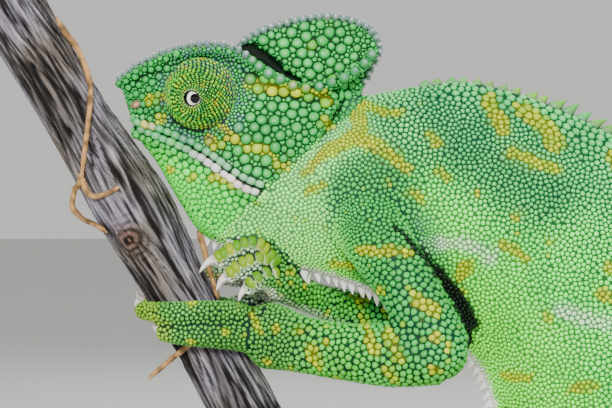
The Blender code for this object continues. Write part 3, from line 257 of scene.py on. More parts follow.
TONES = {
    "belly seam": (0.15, 0.42, 0.17), "neck": (0.58, 0.99, 0.46), "neck seam": (0.24, 0.44, 0.34),
    "throat": (0.26, 0.92, 0.22), "head seam": (0.03, 0.13, 0.05), "throat seam": (0.16, 0.42, 0.26),
    "leg patch": (0.16, 0.62, 0.24), "hand": (0.20, 0.46, 0.12), "leg seam": (0.04, 0.13, 0.13),
    "tail band": (0.13, 0.52, 0.26), "shoulder": (0.15, 0.60, 0.26), "shoulder seam": (0.04, 0.15, 0.14),
    "withers": (0.10, 0.50, 0.28), "withers seam": (0.03, 0.16, 0.13), "yellow seam": (0.42, 0.42, 0.02),
    "left tips": (0.46, 0.58, 0.02), "fold seam": (0.40, 0.46, 0.52), "halo": (0.34, 0.34, 0.55),
    # The cleft and socket tones, and the two tones of the band behind the left arm, are painted shadow
    "halo seam": (0.12, 0.12, 0.30), "mouth line": (0.03, 0.04, 0.03), "cleft": (0.01, 0.025, 0.015),
    "socket": (0.01, 0.03, 0.02), "arm shadow": (0.012, 0.05, 0.03), "arm shadow seam": (0.004, 0.012, 0.008),
    "belly tooth": (0.97, 0.96, 0.95), "nostril": (0.80, 0.66, 0.50), "lip": (0.78, 0.68, 0.70),
    "plate": (0.56, 0.64, 0.0), "plate patch": (0.16, 0.50, 0.08),
    "lid": (0.09, 0.16, 0.24), "lid top": (0.08, 0.18, 0.10), "lid rim": (0.26, 0.34, 0.22),
    "granule": (0.14, 0.60, 0.22), "granule bright": (0.52, 0.88, 0.06), "granule pale": (0.66, 0.98, 0.50),
    "granule lilac": (0.26, 0.28, 0.52), "granule dot": (0.74, 0.76, 0.0), "granule rim": (0.70, 0.86, 0.62),
    "granule middle": (0.80, 1.0, 0.50), "granule seam": (0.08, 0.12, 0.22),
    "pupil": (0.0, 0.0, 0.0), "iris": (0.96, 0.94, 0.90), "eyeball": (0.03, 0.03, 0.03),
    "claw root": (0.62, 0.56, 0.50), "claw": (0.90, 0.86, 0.84), "claw tip": (0.74, 0.68, 0.66),
    "sawn end": (0.62, 0.50, 0.36),
}
FOLDS = [
    (1.5, -34.2, 158.7, -36.1, 153.1, -40.2, 149.2, -44.1, 145.3), (1.5, -22.9, 136.5, -19.4, 132.4),
    (1.4, -36.1, 140.4, -34.9, 136.0),
]

GROUP = {name: index for index, name in enumerate((
    "head", "neck", "fore_left_flank", "fore_right_flank", "rear_left_flank", "rear_right_flank", "tail",
    "left_foreleg", "right_foreleg", "left_hindleg", "right_hindleg"))}
FLESH = ["head", "neck", "torso", "tail_base", "tail_bend", "tail_coil", "tail_tip"]
for side_name in ("left", "right"):
    FLESH += [f"{side_name}_{length}" for length in ("upper_arm", "forearm", "hand", "thigh", "shin", "foot")]

# Scales: profiles of (radius, height) from the tip down to the root
GRAIN = [(0.0, 1.0), (0.68, 0.87), (0.97, 0.42), (1.0, -0.12)]
TUBERCLE = [(0.0, 1.0), (0.48, 0.94), (0.83, 0.75), (0.99, 0.36), (1.0, -0.12)]
TOOTH = [(0.0, 1.0), (0.20, 0.86), (0.50, 0.56), (0.84, 0.20), (1.0, -0.18)]
POINTED = [(0.0, 1.0), (0.32, 0.93), (0.68, 0.70), (0.94, 0.32), (1.0, -0.12)]
CRATER = [(0.0, 0.25), (0.30, 0.45), (0.62, 1.0), (0.96, 0.5), (1.0, -0.12)]
BEAD = [(0.0, 1.0), (0.50, 0.92), (0.86, 0.62), (1.0, 0.15), (1.0, -0.15)]
GRANULE = [(0.0, 1.0), (0.70, 0.80), (1.0, -0.1)]
LIMB_SIDES, GRANULE_SIDES, BODY_SIDES, HEAD_SIDES = 6, 6, 7, 9
PATCH = 0.003
SKIN_TRIANGLES = 150000
PLATE_BEND = 1.9

# Scattering: the closest packing, tries for each scale, shares of large and middling tubercles, how near two
# scales may come, and the limits, rounding and seam of a scale's outline against half its pitch
PACKING = 1.155
TRIES = 13.0
LARGE = 0.12
MIDDLING = 0.26
TOUCH = 0.78
NARROWEST = 0.45
WIDEST = 1.42
ROUNDING = 0.08
SEAM = 0.015

# The shadowed cleft between the sail's front edge and the brow, the knot in the bark, and the left hand's tips
CLEFT = [(-55.4, 168.5), (-52.9, 167.5), (-50.4, 166.0), (-48.3, 164.2), (-46.4, 162.5), (-44.4, 161.8)]
CLEFT_DEPTH = 2.2
KNOT = (-74.4, -6.4, 133.3)
KNOT_WIDTH = 3.4
LOWEST_CHIN = 127.5
LIMB_MARGIN = 0.9
TAIL_MARGIN = 0.6
LEFT_TIPS = [(-71.6, 121.0), (-69.4, 117.2)]

# The camera looks level along +Y: the width of its view in the middle plane of the animal, and its place in metres;
# the lights face the model's middle
SENSOR_WIDTH = 36.0
VIEW_WIDTH = 110.16
VIEW_DISTANCE = 420.0
CAMERA_PLACE = (-0.04302, -0.42, 0.13968)
MODEL_MIDDLE = (-0.02, 0.0, 0.11)

# Tinted finishes: roughness, specular level, mottling, scale of the grain, its relief, spread of the roughness
FINISHES = {
    "Scale": (0.30, 0.24, 0.10, 5200.0, 0.26, 0.08), "Skin": (0.62, 0.12, 0.16, 3600.0, 0.55, 0.12),
    "Claw": (0.30, 0.5, 0.06, 2600.0, 0.15, 0.12), "Eye": (0.07, 0.25, 0.05, 900.0, 0.0, 0.02),
    "Dry Stem": (0.7, 0.3, 0.25, 1800.0, 0.7, 0.1),
}

# Rows of the crests: piece, profile, sides, how wide and long, how far swept back, how deep its root sits
ROWS = {
    "back": ("back_crest", TOOTH, 8, 0.52, 0.98, 0.85, 0.45),
    "belly": ("belly_crest", TOOTH, 8, 0.60, 0.98, 0.60, 0.45),
    "brow": ("brow_crest", POINTED, 8, 0.96, 0.96, 0.0, 0.70),
    "sail": ("sail_crest", POINTED, 8, 0.92, 0.96, 0.0, 0.60),
    "lip": ("lip_scales", BEAD, 12, 0.90, 1.13, 0.0, 0.45),
    "nose": ("nostrils", CRATER, 8, 0.72, 1.30, 0.0, 0.45),
    "plate": ("toe_plates", BEAD, 12, 1.42, 0.72, 0.0, 0.34),
}

made = {}


class ChameleonScales(bpy.types.PropertyGroup):
    flank_pitch: bpy.props.FloatProperty(
        name="Flank Scale", description="Distance between scales on the side", default=0.00088, unit="LENGTH")
    belly_pitch: bpy.props.FloatProperty(
        name="Belly Scale", description="Distance between scales under the body", default=0.00074, unit="LENGTH")
    ridge_pitch: bpy.props.FloatProperty(
        name="Ridge Scale", description="Distance between scales beside the back crest", default=0.00165,
        unit="LENGTH")
    cheek_pitch: bpy.props.FloatProperty(
        name="Cheek Tubercle", description="Distance between the large tubercles of the head", default=0.0021,
        unit="LENGTH")
    leg_pitch: bpy.props.FloatProperty(
        name="Leg Scale", description="Distance between scales on the legs", default=0.00124, unit="LENGTH")
    coat_depth: bpy.props.FloatProperty(
        name="Coat Depth", description="How far the bare skin lies inside the solids", default=0.00036,
        unit="LENGTH")
    groove: bpy.props.FloatProperty(
        name="Groove", description="Share of a scale's pitch left bare round it", default=0.10, min=0.0, max=0.4,
        subtype="FACTOR")


class ChameleonColours(bpy.types.PropertyGroup):
    back_green: bpy.props.FloatVectorProperty(
        name="Back Green", description="Scales near the back", default=(0.17, 0.68, 0.34), subtype="COLOR",
        min=0, max=1)
    flank_green: bpy.props.FloatVectorProperty(
        name="Flank Green", description="Scales on the side", default=(0.27, 0.93, 0.27), subtype="COLOR",
        min=0, max=1)
    belly_green: bpy.props.FloatVectorProperty(
        name="Belly Green", description="Scales low on the side", default=(0.44, 0.98, 0.14), subtype="COLOR",
        min=0, max=1)
    head_green: bpy.props.FloatVectorProperty(
        name="Head Green", description="Tubercles of the head", default=(0.14, 0.60, 0.25), subtype="COLOR",
        min=0, max=1)
    leg_green: bpy.props.FloatVectorProperty(
        name="Leg Green", description="Scales of the legs", default=(0.26, 0.70, 0.16), subtype="COLOR",
        min=0, max=1)
    yellow: bpy.props.FloatVectorProperty(
        name="Yellow", description="Bands and spots", default=(0.70, 0.74, 0.0), subtype="COLOR", min=0, max=1)
    # The pale middle of each scale, partly its own paler tone and partly a painted highlight
    mint_and_highlight: bpy.props.FloatVectorProperty(
        name="Mint", description="Pale middle of a scale", default=(0.72, 1.0, 0.58), subtype="COLOR",
        min=0, max=1)
    seam: bpy.props.FloatVectorProperty(
        name="Seam", description="Dark skin between scales", default=(0.06, 0.23, 0.15), subtype="COLOR",
        min=0, max=1)
    pale: bpy.props.FloatVectorProperty(
        name="Pale Skin", description="Lips, folds and the belly crest", default=(0.96, 0.92, 0.94),
        subtype="COLOR", min=0, max=1)
    lilac: bpy.props.FloatVectorProperty(
        name="Lilac", description="Worn tips of the crests", default=(0.55, 0.48, 0.60), subtype="COLOR",
        min=0, max=1)


class ChameleonPerch(bpy.types.PropertyGroup):
    fibre_depth: bpy.props.FloatProperty(
        name="Fibre Depth", description="Depth of the furrows in the bark", default=0.00055, unit="LENGTH")
    bark_dark: bpy.props.FloatVectorProperty(
        name="Bark Furrow", description="Colour in the furrows", default=(0.05, 0.04, 0.035), subtype="COLOR",
        min=0, max=1)
    bark_pale: bpy.props.FloatVectorProperty(
        name="Bark Ridge", description="Colour of the weathered ridges", default=(0.56, 0.54, 0.54),
        subtype="COLOR", min=0, max=1)
    tendril_tan: bpy.props.FloatVectorProperty(
        name="Tendril", description="Colour of the dry tendrils", default=(0.70, 0.53, 0.32), subtype="COLOR",
        min=0, max=1)


class ChameleonStage(bpy.types.PropertyGroup):
    floor_radius: bpy.props.FloatProperty(
        name="Floor Radius", description="Radius of the plain floor", default=9.0, unit="LENGTH")
    floor_colour: bpy.props.FloatVectorProperty(
        name="Floor", description="Colour of the floor and the air", default=(0.80, 0.80, 0.79),
        subtype="COLOR", min=0, max=1)
    key_power: bpy.props.FloatProperty(
        name="Key Light", description="Power of the light beside the camera", default=19.0, min=0)
    fill_power: bpy.props.FloatProperty(
        name="Fill Light", description="Power of the broad light from above", default=10.0, min=0)


# Working with directions and colours

def unit(ways):
    """One direction, or rows of them, made one long."""
    return ways / (np.linalg.norm(ways) if ways.ndim == 1 else np.linalg.norm(ways, axis=1)[:, None])


def square_to(tangent, out):
    """A way out, turned square to a tangent and made one long."""
    return unit(out - tangent * (out @ tangent))


def walked_along(line):
    """The way walked from the start of a line to each of its places."""
    return np.concatenate([[0.0], np.cumsum(np.linalg.norm(np.diff(line, axis=0), axis=1))])


def smooth_step(low, high, value):
    """A soft step from 0 at `low` to 1 at `high`."""
    t = np.clip((value - low) / (high - low), 0, 1)
    return t * t * (3 - 2 * t)


def mixed(first, second, share):
    """The first colour turned towards the second by a share at each place."""
    first = np.asarray(first)
    return first + (np.asarray(second) - first) * np.asarray(share)[..., None]


def linear(colour):
    """A colour as the eye reads it, turned into the light that a shader takes."""
    colour = np.clip(np.asarray(colour, float), 0, 1)
    return np.where(colour <= 0.04045, colour / 12.92, ((colour + 0.055) / 1.055) ** 2.4)


# Forms repeated from the solids' named sizes

def through(rows, count, lead=3):
    """`count` rows on a smooth curve through `rows`, even in distance along their first `lead` columns."""
    rows = np.array(rows, float)
    knots = walked_along(rows[:, :lead])
    slopes = np.gradient(rows, knots, axis=0)
    places = np.linspace(0.0, knots[-1], count)
    k = np.clip(np.searchsorted(knots, places, side="right") - 1, 0, len(knots) - 2)
    width = (knots[k + 1] - knots[k])[:, None]
    t = (places - knots[k])[:, None] / width
    start = (2 * t**3 - 3 * t**2 + 1) * rows[k] + (t**3 - 2 * t**2 + t) * width * slopes[k]
    end = (3 * t**2 - 2 * t**3) * rows[k + 1] + (t**3 - t**2) * width * slopes[k + 1]
    return start + end


def mirrored(rows):
    """The same places on the right side."""
    return [(row[0], -row[1], *row[2:]) for row in rows]


def path_frames(points):
    """The side and the up direction across a path at each of its points; side stays close to Y."""
    tangent = unit(np.gradient(points, axis=0))
    side = unit((0.0, 1.0, 0.0) - tangent * tangent[:, 1:2])
    return side, np.cross(tangent, side)


def circle(sides):
    """Even angles once round."""
    return np.linspace(0.0, 2 * math.pi, sides, endpoint=False)


def ring_round(middle, up, side, high, wide):
    """A ring of places round a middle point, `high` away from it along up and `wide` along side."""
    angle = circle(len(high))
    return middle + np.outer(np.cos(angle) * high, up) + np.outer(np.sin(angle) * wide, side)


def rolled(rings):
    """A closed tube through the rings: a grid that is rolled up, merged along its seam and capped."""
    rings = np.array(rings, float)
    rows, sides = rings.shape[:2]
    bm = bmesh.new()
    bmesh.ops.create_grid(bm, x_segments=sides, y_segments=rows - 1, size=1.0)
    for vert in bm.verts:
        column = round((vert.co.x + 1) / 2 * sides) % sides
        vert.co = rings[round((vert.co.y + 1) / 2 * (rows - 1)), column]
    bmesh.ops.remove_doubles(bm, verts=bm.verts, dist=1e-6)
    bmesh.ops.holes_fill(bm, edges=bm.edges, sides=0)
    bmesh.ops.recalc_face_normals(bm, faces=bm.faces)
    return bm


def gather(into, bm):
    """Adds a finished form to the growing one."""
    mesh = bpy.data.meshes.new("form")
    bm.to_mesh(mesh)
    bm.free()
    into.from_mesh(mesh)
    bpy.data.meshes.remove(mesh)


def body_ring(row, sides=40):
    """A section of the trunk: narrow along the back, rounder below, widest a little under the middle."""
    back, belly = np.array(row[0:2]), np.array(row[2:4])
    middle, reach = (back + belly) / 2, (back - belly) / 2
    along, across = np.cos(circle(sides)), np.sin(circle(sides))
    pinch = np.where(along > 0, BACK_PINCH, BELLY_PINCH)
    side = row[4] * np.sign(across) * np.abs(across) ** pinch
    place = middle + np.outer(along - BELLY_SAG * across**2, reach)
    return np.column_stack([place[:, 0], side, place[:, 1]])


def skull_ring(row, points=12):
    """A section of the head from its top to its chin, mirrored: a flat brow, a full cheek and a jaw."""
    top, bottom = np.array(row[0:2]), np.array(row[2:4])
    brow, cheek, cheek_share, jaw = row[4:8]
    half = through([(0.0, 0.03), (brow * 0.55, 0.0), (brow, 0.05), (cheek, cheek_share), (jaw, 0.84),
                    (jaw * 0.5, 0.97), (0.0, 1.0)], points, lead=2)
    half = np.vstack([half, half[-2:0:-1] * (-1, 1)])
    place = top + np.outer(half[:, 1], bottom - top)
    return np.column_stack([place[:, 0], half[:, 0], place[:, 1]])


def oval_tube(rows, sides):
    """An oval tube with flat caps, along rows of (x, y, z, radius up, radius aside)."""
    side, up = path_frames(rows[:, :3])
    even = np.ones(sides)
    return rolled([ring_round(row[:3], u, s, even * row[3], even * row[4]) for row, s, u in zip(rows, side, up)])


def tube(into, rows, sides, count=None):
    """An oval tube with rounded ends; rows of four numbers are round, with one radius."""
    rows = np.array(rows, float)
    if rows.shape[1] == 4:
        rows = np.column_stack([rows, rows[:, 3]])
    if count:
        rows = through(rows, count)
    gather(into, oval_tube(rows, sides))
    for row in (rows[0], rows[-1]):
        ball(into, row[:3], min(row[3:5]))


def ball(into, place, radius, scale=(1, 1, 1)):
    """A closed sphere, or an oval one by its scale."""
    bm = bmesh.new()
    size = Matrix.Diagonal((*(radius * np.array(scale, float)), 1.0))
    bmesh.ops.create_uvsphere(bm, u_segments=18, v_segments=10, radius=1.0,
                              matrix=Matrix.Translation(Vector(place)) @ size)
    gather(into, bm)


def branch_frame(x, z):
    """The branch's nearest middle point, its direction downwards, the way to the animal and its radius."""
    rows = through(BRANCH, 160, lead=2)
    i = int(np.argmin(np.hypot(rows[:, 0] - x, rows[:, 1] - z)))
    down = unit((rows[min(i + 1, len(rows) - 1)] - rows[max(i - 1, 0)])[:2])
    return rows[i, :2], down, np.array([-down[1], down[0]]), rows[i, 2]


def grip_path(limb, side, lift, shares):
    """Places on a toe's line as it wraps the branch on one side (-1 left, 1 right), `lift` over the bark."""
    middle, down, toward, radius = branch_frame(*limb["grip"])
    points = []
    for share in shares:
        turn = math.radians(TOE_START + share * (limb["end"] - TOE_START))
        flat = middle + down * (limb["start"] - limb["climb"] * share)
        flat = flat + toward * (radius + GAP + lift) * math.cos(turn)
        points.append((flat[0], side * (radius + GAP + lift) * math.sin(turn), flat[1]))
    return np.array(points), np.array([down[0], 0.0, down[1]])


def bundle_toes(limb):
    """Rows of each toe, side by side along the branch in two bundles, and the two ends of its claw."""
    for side, number in zip((-1, 1), limb["bundles"]):
        radius = BROAD_TOE_RADIUS if number == 2 else SLIM_TOE_RADIUS
        for k in range(number):
            apart = (k - (number - 1) / 2) * radius * 1.72
            reach = 1.0 - 0.10 * (k % 2)
            path, down = grip_path(limb, side, radius * 0.86, np.linspace(0.0, reach, 9))
            line = path + down * apart * np.linspace(1.0, 0.88, 9)[:, None]
            claw, _ = grip_path(limb, side, 0.35, [reach + CLAW_TURN / (limb["end"] - TOE_START)])
            sizes = radius * (1 - (1 - TOE_TAPER) * np.linspace(0.0, 1.0, 9) ** 2)
            yield np.column_stack([line, sizes]), (line[-1], claw[0] + down * apart * 0.86)


def tail_rows():
    """The whole tail as rows of (x, y, z, radius up, radius aside)."""
    rows = list(TAIL_ROOT)
    whole = COIL_TURNS * 2 * math.pi
    for turn in np.linspace(0.0, whole, 80):
        reach = COIL_RADIUS * math.exp(-COIL_TIGHTENING * turn)
        walked = (1 - math.exp(-COIL_TIGHTENING * turn)) / (1 - math.exp(-COIL_TIGHTENING * whole))
        size = COIL_START_RADIUS + (TAIL_TIP_RADIUS - COIL_START_RADIUS) * walked
        rows.append((COIL_CENTRE[0] + reach * math.cos(turn), -COIL_LEAN * turn * min(1.0, turn / whole * 6),
                     COIL_CENTRE[1] - reach * math.sin(turn), size, size * 0.94))
    return rows


def helmet(into):
    """The tall middle crest: a thin rounded edge over a broader foot sunk in the skull."""
    section = [(0.0, 0.0), (0.015, CREST_EDGE_HALF * 0.75), (0.06, CREST_EDGE_HALF * 1.1),
               (0.3, CREST_EDGE_HALF * 1.6), (0.62, CREST_EDGE_HALF * 2.8), (1.0, CREST_FOOT_HALF)]
    section += [(share, -wide) for share, wide in reversed(section[1:])]
    rings = []
    for high, low in zip(through(CREST_EDGE, 26, lead=2), through(CREST_FOOT, 26, lead=2)):
        rings.append([(high[0] + (low[0] - high[0]) * share, wide, high[1] + (low[1] - high[1]) * share)
                      for share, wide in section])
    gather(into, rolled(rings))


def limb_lines(limb):
    """Centre lines of one limb as rows of (x, y, z, radius up, radius aside): both lengths, palm and toes."""
    leg, bend = limb["rows"], limb["bend"]
    lines = [through(leg[:bend + 1], 24), through(leg[bend:], 24)]
    if "toes" in limb:
        lines.append(through([leg[-1], limb["palm"]], 4))
        toes = [through([(*row, row[3]) for row in toe[:-1]], 12) for toe in limb["toes"]]
    else:
        middle, down, toward, radius = branch_frame(*limb["grip"])
        palm = middle + down * limb["start"] + toward * (radius + GAP + 2.6)
        limb["sole"] = (palm[0], 0.0, palm[1])
        lines.append(through([leg[-1], (palm[0], leg[-1][1] * 0.35, palm[1], 4.6, 3.8)], 5))
        toes = [np.column_stack([rows, rows[:, 3]]) for rows, _ in bundle_toes(limb)]
    return lines, toes


def claw_ends(limb):
    """(base, tip) of each claw of a limb, with the way that its bow bulges."""
    if "toes" in limb:
        for toe in limb["toes"]:
            yield np.array(toe[-2][:3]), np.array(toe[-1][:3]), np.array([-0.4, -0.1, 1.0])
        return
    middle = branch_frame(*limb["grip"])[0]
    for _, (base, tip) in bundle_toes(limb):
        yield base, tip, (base + tip) / 2 - np.array([middle[0], 0.0, middle[1]])


# Working with many places at once

def vectors_of(elements, key):
    """Three numbers of every element of a mesh, as rows."""
    values = np.empty(len(elements) * 3)
    elements.foreach_get(key, values)
    return values.reshape(-1, 3)


def tree_of(places):
    """A search tree over places."""
    home = KDTree(len(places))
    for i, place in enumerate(places):
        home.insert(place, i)
    home.balance()
    return home


def distances(points, line):
    """The nearest sample of a line to each point, and how far the point is outside its radius."""
    nearest = np.empty(len(points), int)
    outside = np.empty(len(points))
    for k in range(0, len(points), 20000):
        part = points[k:k + 20000]
        square = (part**2).sum(1)[:, None] + (line[:, :3]**2).sum(1)[None] - 2 * part @ line[:, :3].T
        reach = np.sqrt(np.maximum(square, 0.0)) - line[:, 3:5].mean(1)[None]
        nearest[k:k + 20000] = reach.argmin(1)
        outside[k:k + 20000] = reach.min(1)
    return nearest, outside


def to_stroke(flat, stroke):
    """The distance of side-view places to a stroke of one or more places."""
    line = np.array(stroke, float).reshape(-1, 2)
    best = np.full(len(flat), FAR)
    for low, high in zip(line, line[1:] if len(line) > 1 else line):
        span = high - low
        t = np.clip(((flat - low) @ span) / max(span @ span, 1e-9), 0, 1)
        best = np.minimum(best, np.hypot(*(flat - low - t[:, None] * span).T))
    return best


def marked(flat, strokes, edge=0.35):
    """How strongly each place is inside one of the strokes, from 0 to 1."""
    mask = np.zeros(len(flat))
    for half, *stroke in strokes:
        mask = np.maximum(mask, np.clip((half - to_stroke(flat, stroke)) / edge + 0.5, 0, 1))
    return mask


def cloud(points, size, shift=0.0):
    """Soft noise in about -1 to 1 at each point, with patches about `size` across."""
    return np.array([noise.noise((p[0] / size + shift, p[1] / size, p[2] / size)) for p in points]) * 1.6


# The animal's surface

def evaluated(name, mesh, *modifiers):
    """A new mesh: the given one with modifiers (type, settings) applied in order."""
    source = bpy.data.objects.new(name, mesh)
    bpy.context.scene.collection.objects.link(source)
    for kind, settings in modifiers:
        modifier = source.modifiers.new(kind.title(), kind)
        for key, value in settings.items():
            setattr(modifier, key, value)
    graph = bpy.context.evaluated_depsgraph_get()
    result = bpy.data.meshes.new_from_object(source.evaluated_get(graph))
    bpy.data.objects.remove(source)
    return result


def fused_outline():
    """All the forms of the flesh as one smooth closed surface, and its points."""
    whole = bmesh.new()
    gather(whole, rolled([body_ring(row) for row in through(BODY, 70, lead=4)]))
    gather(whole, rolled([skull_ring(row) for row in through(SKULL, 30, lead=4)]))
    helmet(whole)
    for rows in (MOUTH, mirrored(MOUTH)):
        for lift in (-LIP_SPREAD, LIP_SPREAD):
            tube(whole, [(x, y * 0.87, z + lift, LIP_RADIUS) for x, y, z in rows[1:]], sides=12, count=24)
    for row in (BROW, mirrored(BROW)):
        tube(whole, [(*place, BROW_RADIUS) for place in row], sides=10, count=44)
    for sign in (-1, 1):
        ball(whole, np.array(SOCKET) * (1, sign, 1), SOCKET_RADIUS, scale=SOCKET_SCALE)
    tube(whole, tail_rows(), sides=18)
    for limb in LIMBS.values():
        lengths, toes = limb_lines(limb)
        for line in lengths:
            tube(whole, line, sides=18)
        for line in toes:
            tube(whole, line, sides=12)
        if "sole" in limb:
            ball(whole, limb["sole"], SOLE_RADIUS, scale=SOLE_SCALE)
    mesh = bpy.data.meshes.new("outline")
    whole.to_mesh(mesh)
    whole.free()
    fused = evaluated("outline", mesh, ("REMESH", {"mode": "VOXEL", "voxel_size": VOXEL}),
                      ("SMOOTH", {"factor": 0.5, "iterations": SMOOTH_ROUNDS}))
    bpy.data.meshes.remove(mesh)
    points = carved(clear_of_bark(vectors_of(fused.vertices, "co")))
    fused.vertices.foreach_set("co", points.ravel())
    fused.update()
    return fused, points


def clear_of_bark(points):
    """Points of the hands and feet are held off the branch by the gap between skin and bark."""
    rows = through(BRANCH, 200, lead=2)
    reach = rows[:, 2] + SKIN_GAP
    line = np.column_stack([rows[:, 0], np.zeros(len(rows)), rows[:, 1], reach, reach])
    near, outside = distances(points, line)
    inside = outside < 0
    away = points - line[near, :3]
    away /= np.maximum(np.linalg.norm(away, axis=1), 1e-6)[:, None]
    points[inside] -= away[inside] * outside[inside, None]
    return points


def carved(points):
    """The line of the mouth, both nostrils and the cleft beside the sail are pressed in."""
    head = points[:, 0] < MOUTH_END
    for rows in (MOUTH, mirrored(MOUTH)):
        line = np.column_stack([through(rows, 60), np.zeros((60, 2))])
        near, away = distances(points[head], line)
        press = MOUTH_DEPTH * np.exp(-((points[head, 2] - line[near, 2]) / MOUTH_WIDTH) ** 2) * (away < 2.4)
        points[head, 1] -= np.sign(points[head, 1]) * press
    for sign in (1, -1):
        away = np.linalg.norm(points - np.array(NOSTRIL) * (1, sign, 1), axis=1)
        points[:, 1] -= np.sign(points[:, 1]) * NOSTRIL_DEPTH * np.exp(-(away / NOSTRIL_WIDTH) ** 2)
    press = np.minimum(in_cleft(points) * CLEFT_DEPTH, np.maximum(np.abs(points[:, 1]) - 0.4, 0))
    points[:, 1] -= np.sign(points[:, 1]) * press
    return points


def in_cleft(points):
    """How far each point lies in the shadowed cleft under the sail's front edge, from 0 to 1."""
    flat = points[:, [0, 2]]
    half = np.interp(flat[:, 0], [-55.0, -50.4, -46.4, -44.4], [0.95, 0.85, 0.62, 0.30])
    inside = np.clip((half - to_stroke(flat, CLEFT)) / 0.25 + 0.5, 0, 1)
    return inside * (np.abs(points[:, 1]) < 5.2)


def across_body(flat):
    """Where side-view places lie on the trunk: share along it, and share from the back (0) to the belly (1)."""
    rows = through(BODY, 90, lead=4)
    best = np.full(len(flat), FAR)
    along, across = np.zeros(len(flat)), np.zeros(len(flat))
    for k, row in enumerate(rows):
        back, belly = row[0:2], row[2:4]
        span = belly - back
        share = ((flat - back) @ span) / (span @ span)
        away = np.hypot(*(flat - back - np.clip(share, 0, 1)[:, None] * span).T)
        closer = away < best
        best = np.where(closer, away, best)
        along = np.where(closer, k / (len(rows) - 1), along)
        across = np.where(closer, share, across)
    return along, np.clip(across, 0, 1)


def beyond(flat, cut):
    """True for side-view places on the head's side of a section line."""
    (hx, hz), (lx, lz) = cut
    return (flat[:, 0] - lx) * (hz - lz) - (flat[:, 1] - lz) * (hx - lx) < 0


def sorted_out(points):
    """For every point of the outline: its group, its share along and around that group, and its limb radius."""
    flat = points[:, [0, 2]]
    along, across = across_body(flat)
    group = np.where(along > 0.50, GROUP["rear_left_flank"], GROUP["fore_left_flank"])
    group = group + (points[:, 1] > 0)
    group = np.where(beyond(flat, SHOULDER_CUT), GROUP["neck"], group)
    group = np.where(beyond(flat, HEAD_CUT) & (flat[:, 1] > LOWEST_CHIN), GROUP["head"], group)
    around = across.copy()
    thick = np.full(len(points), 12.0)
    at_head, at_neck = group == GROUP["head"], group == GROUP["neck"]
    x, z = flat[at_head].T
    around[at_head] = np.arctan2(points[at_head, 1], z - 151.0 + 0.3 * (x + 60)) / (2 * math.pi) + 0.5
    along[at_head] = (x + 78.0) / 50.0
    around[at_neck] = 0.5 + np.sign(points[at_neck, 1]) * across[at_neck] * 0.48
    along[at_neck] *= 2.4
    lines = {name: limb_lines(limb) for name, limb in LIMBS.items()}
    lines = {name: np.vstack(lengths + toes) for name, (lengths, toes) in lines.items()}
    lines["tail"] = through(tail_rows(), 260)
    best = np.full(len(points), LIMB_MARGIN)
    for name, line in lines.items():
        near, outside = distances(points, line)
        mine = (outside < best) & ((outside < TAIL_MARGIN) if name == "tail" else ~at_head)
        side, up = path_frames(line[:, :3])
        away = points - line[near, :3]
        turn = np.arctan2((away * side[near]).sum(1), (away * up[near]).sum(1)) / (2 * math.pi) + 0.5
        group = np.where(mine, GROUP[name], group)
        along = np.where(mine, near / len(line), along)
        around = np.where(mine, turn, around)
        thick = np.where(mine, line[near, 3:5].mean(1), thick)
        best = np.where(mine, outside, best)
    return group, along, around, thick, across


def pitches(points, group, along, thick, across):
    """How far apart the scales stand at each point, and whether large and small ones mix there."""
    sizes = bpy.context.scene.chameleon_scales
    flank, belly, ridge, cheek, leg = (
        1000 * getattr(sizes, f"{place}_pitch") for place in ("flank", "belly", "ridge", "cheek", "leg"))
    flat = points[:, [0, 2]]
    pitch = flank + (belly - flank) * smooth_step(0.55, 0.9, across)
    shoulder = smooth_step(-34.0, -8.0, flat[:, 0])
    pitch = pitch + (ridge - flank) * shoulder * smooth_step(0.16, 0.03, across)
    fold = marked(flat, FOLDS, edge=1.5)
    pitch = pitch * (1 - 0.30 * fold)
    at_neck = 0.76 - 0.12 * fold + 0.26 * smooth_step(-36.0, -24.0, flat[:, 0])
    pitch = np.where(group == GROUP["neck"], at_neck, pitch)
    limbs = group >= GROUP["left_foreleg"]
    toes = smooth_step(4.2, 2.2, thick)
    pitch = np.where(limbs, pitch + (leg * (1 - 0.34 * toes) - pitch) * smooth_step(0.03, 0.16, along), pitch)
    hand = (group == GROUP["left_foreleg"]) & (flat[:, 0] < -46.0)
    pitch = np.where(hand, np.minimum(pitch, 0.95), pitch)
    pitch = np.where(group == GROUP["tail"], np.clip(0.30 * thick, 0.42, 1.15), pitch)
    head = group == GROUP["head"]
    mouth = through(MOUTH, 40)[:, [0, 2]]
    below = np.interp(flat[:, 0], *mouth.T) - flat[:, 1]
    jaw = 1.42 - 0.50 * smooth_step(2.4, 8.0, below)
    upper = cheek * (0.66 + 0.34 * smooth_step(-62.0, -53.0, flat[:, 0]))
    on_head = np.where(below > 0, jaw, upper)
    behind = flat[:, 0] - np.interp(flat[:, 1], [131.6, 159.2], [-61.6, -31.6])
    on_head = np.where(below > 0, on_head, on_head * (1 - 0.45 * smooth_step(-5.0, -0.5, behind)))
    eye = np.hypot(flat[:, 0] - EYE_SEAT[0] - 0.4, flat[:, 1] - EYE_SEAT[2])
    on_head = np.where(eye < EYE_FIELD, 0.62 + 0.25 * smooth_step(6.8, EYE_FIELD, eye), on_head)
    on_head = np.where(below > 0, on_head, on_head * (1 - 0.42 * smooth_step(2.6, 1.4, to_stroke(flat, CLEFT))))
    lip = to_stroke(flat, mouth) < 1.8
    on_head = np.where(lip, 1.3, on_head)
    return np.where(head, on_head, pitch), head & (below < 0) & (eye > EYE_FIELD) & ~lip


# Scattering the scales

def rows_of_places(line, step, start=0.0, end=0.0):
    """Even places along a line with their directions; `step` may shrink towards a share along it."""
    line = through(line, 400)
    walked = walked_along(line)
    at, out = start, []
    while at < walked[-1] - end:
        out.append(int(np.searchsorted(walked, at)))
        at += step(at / walked[-1]) if callable(step) else step
    tangent = unit(np.gradient(line, axis=0))
    return [(line[i], tangent[i], walked[i] / walked[-1]) for i in out]


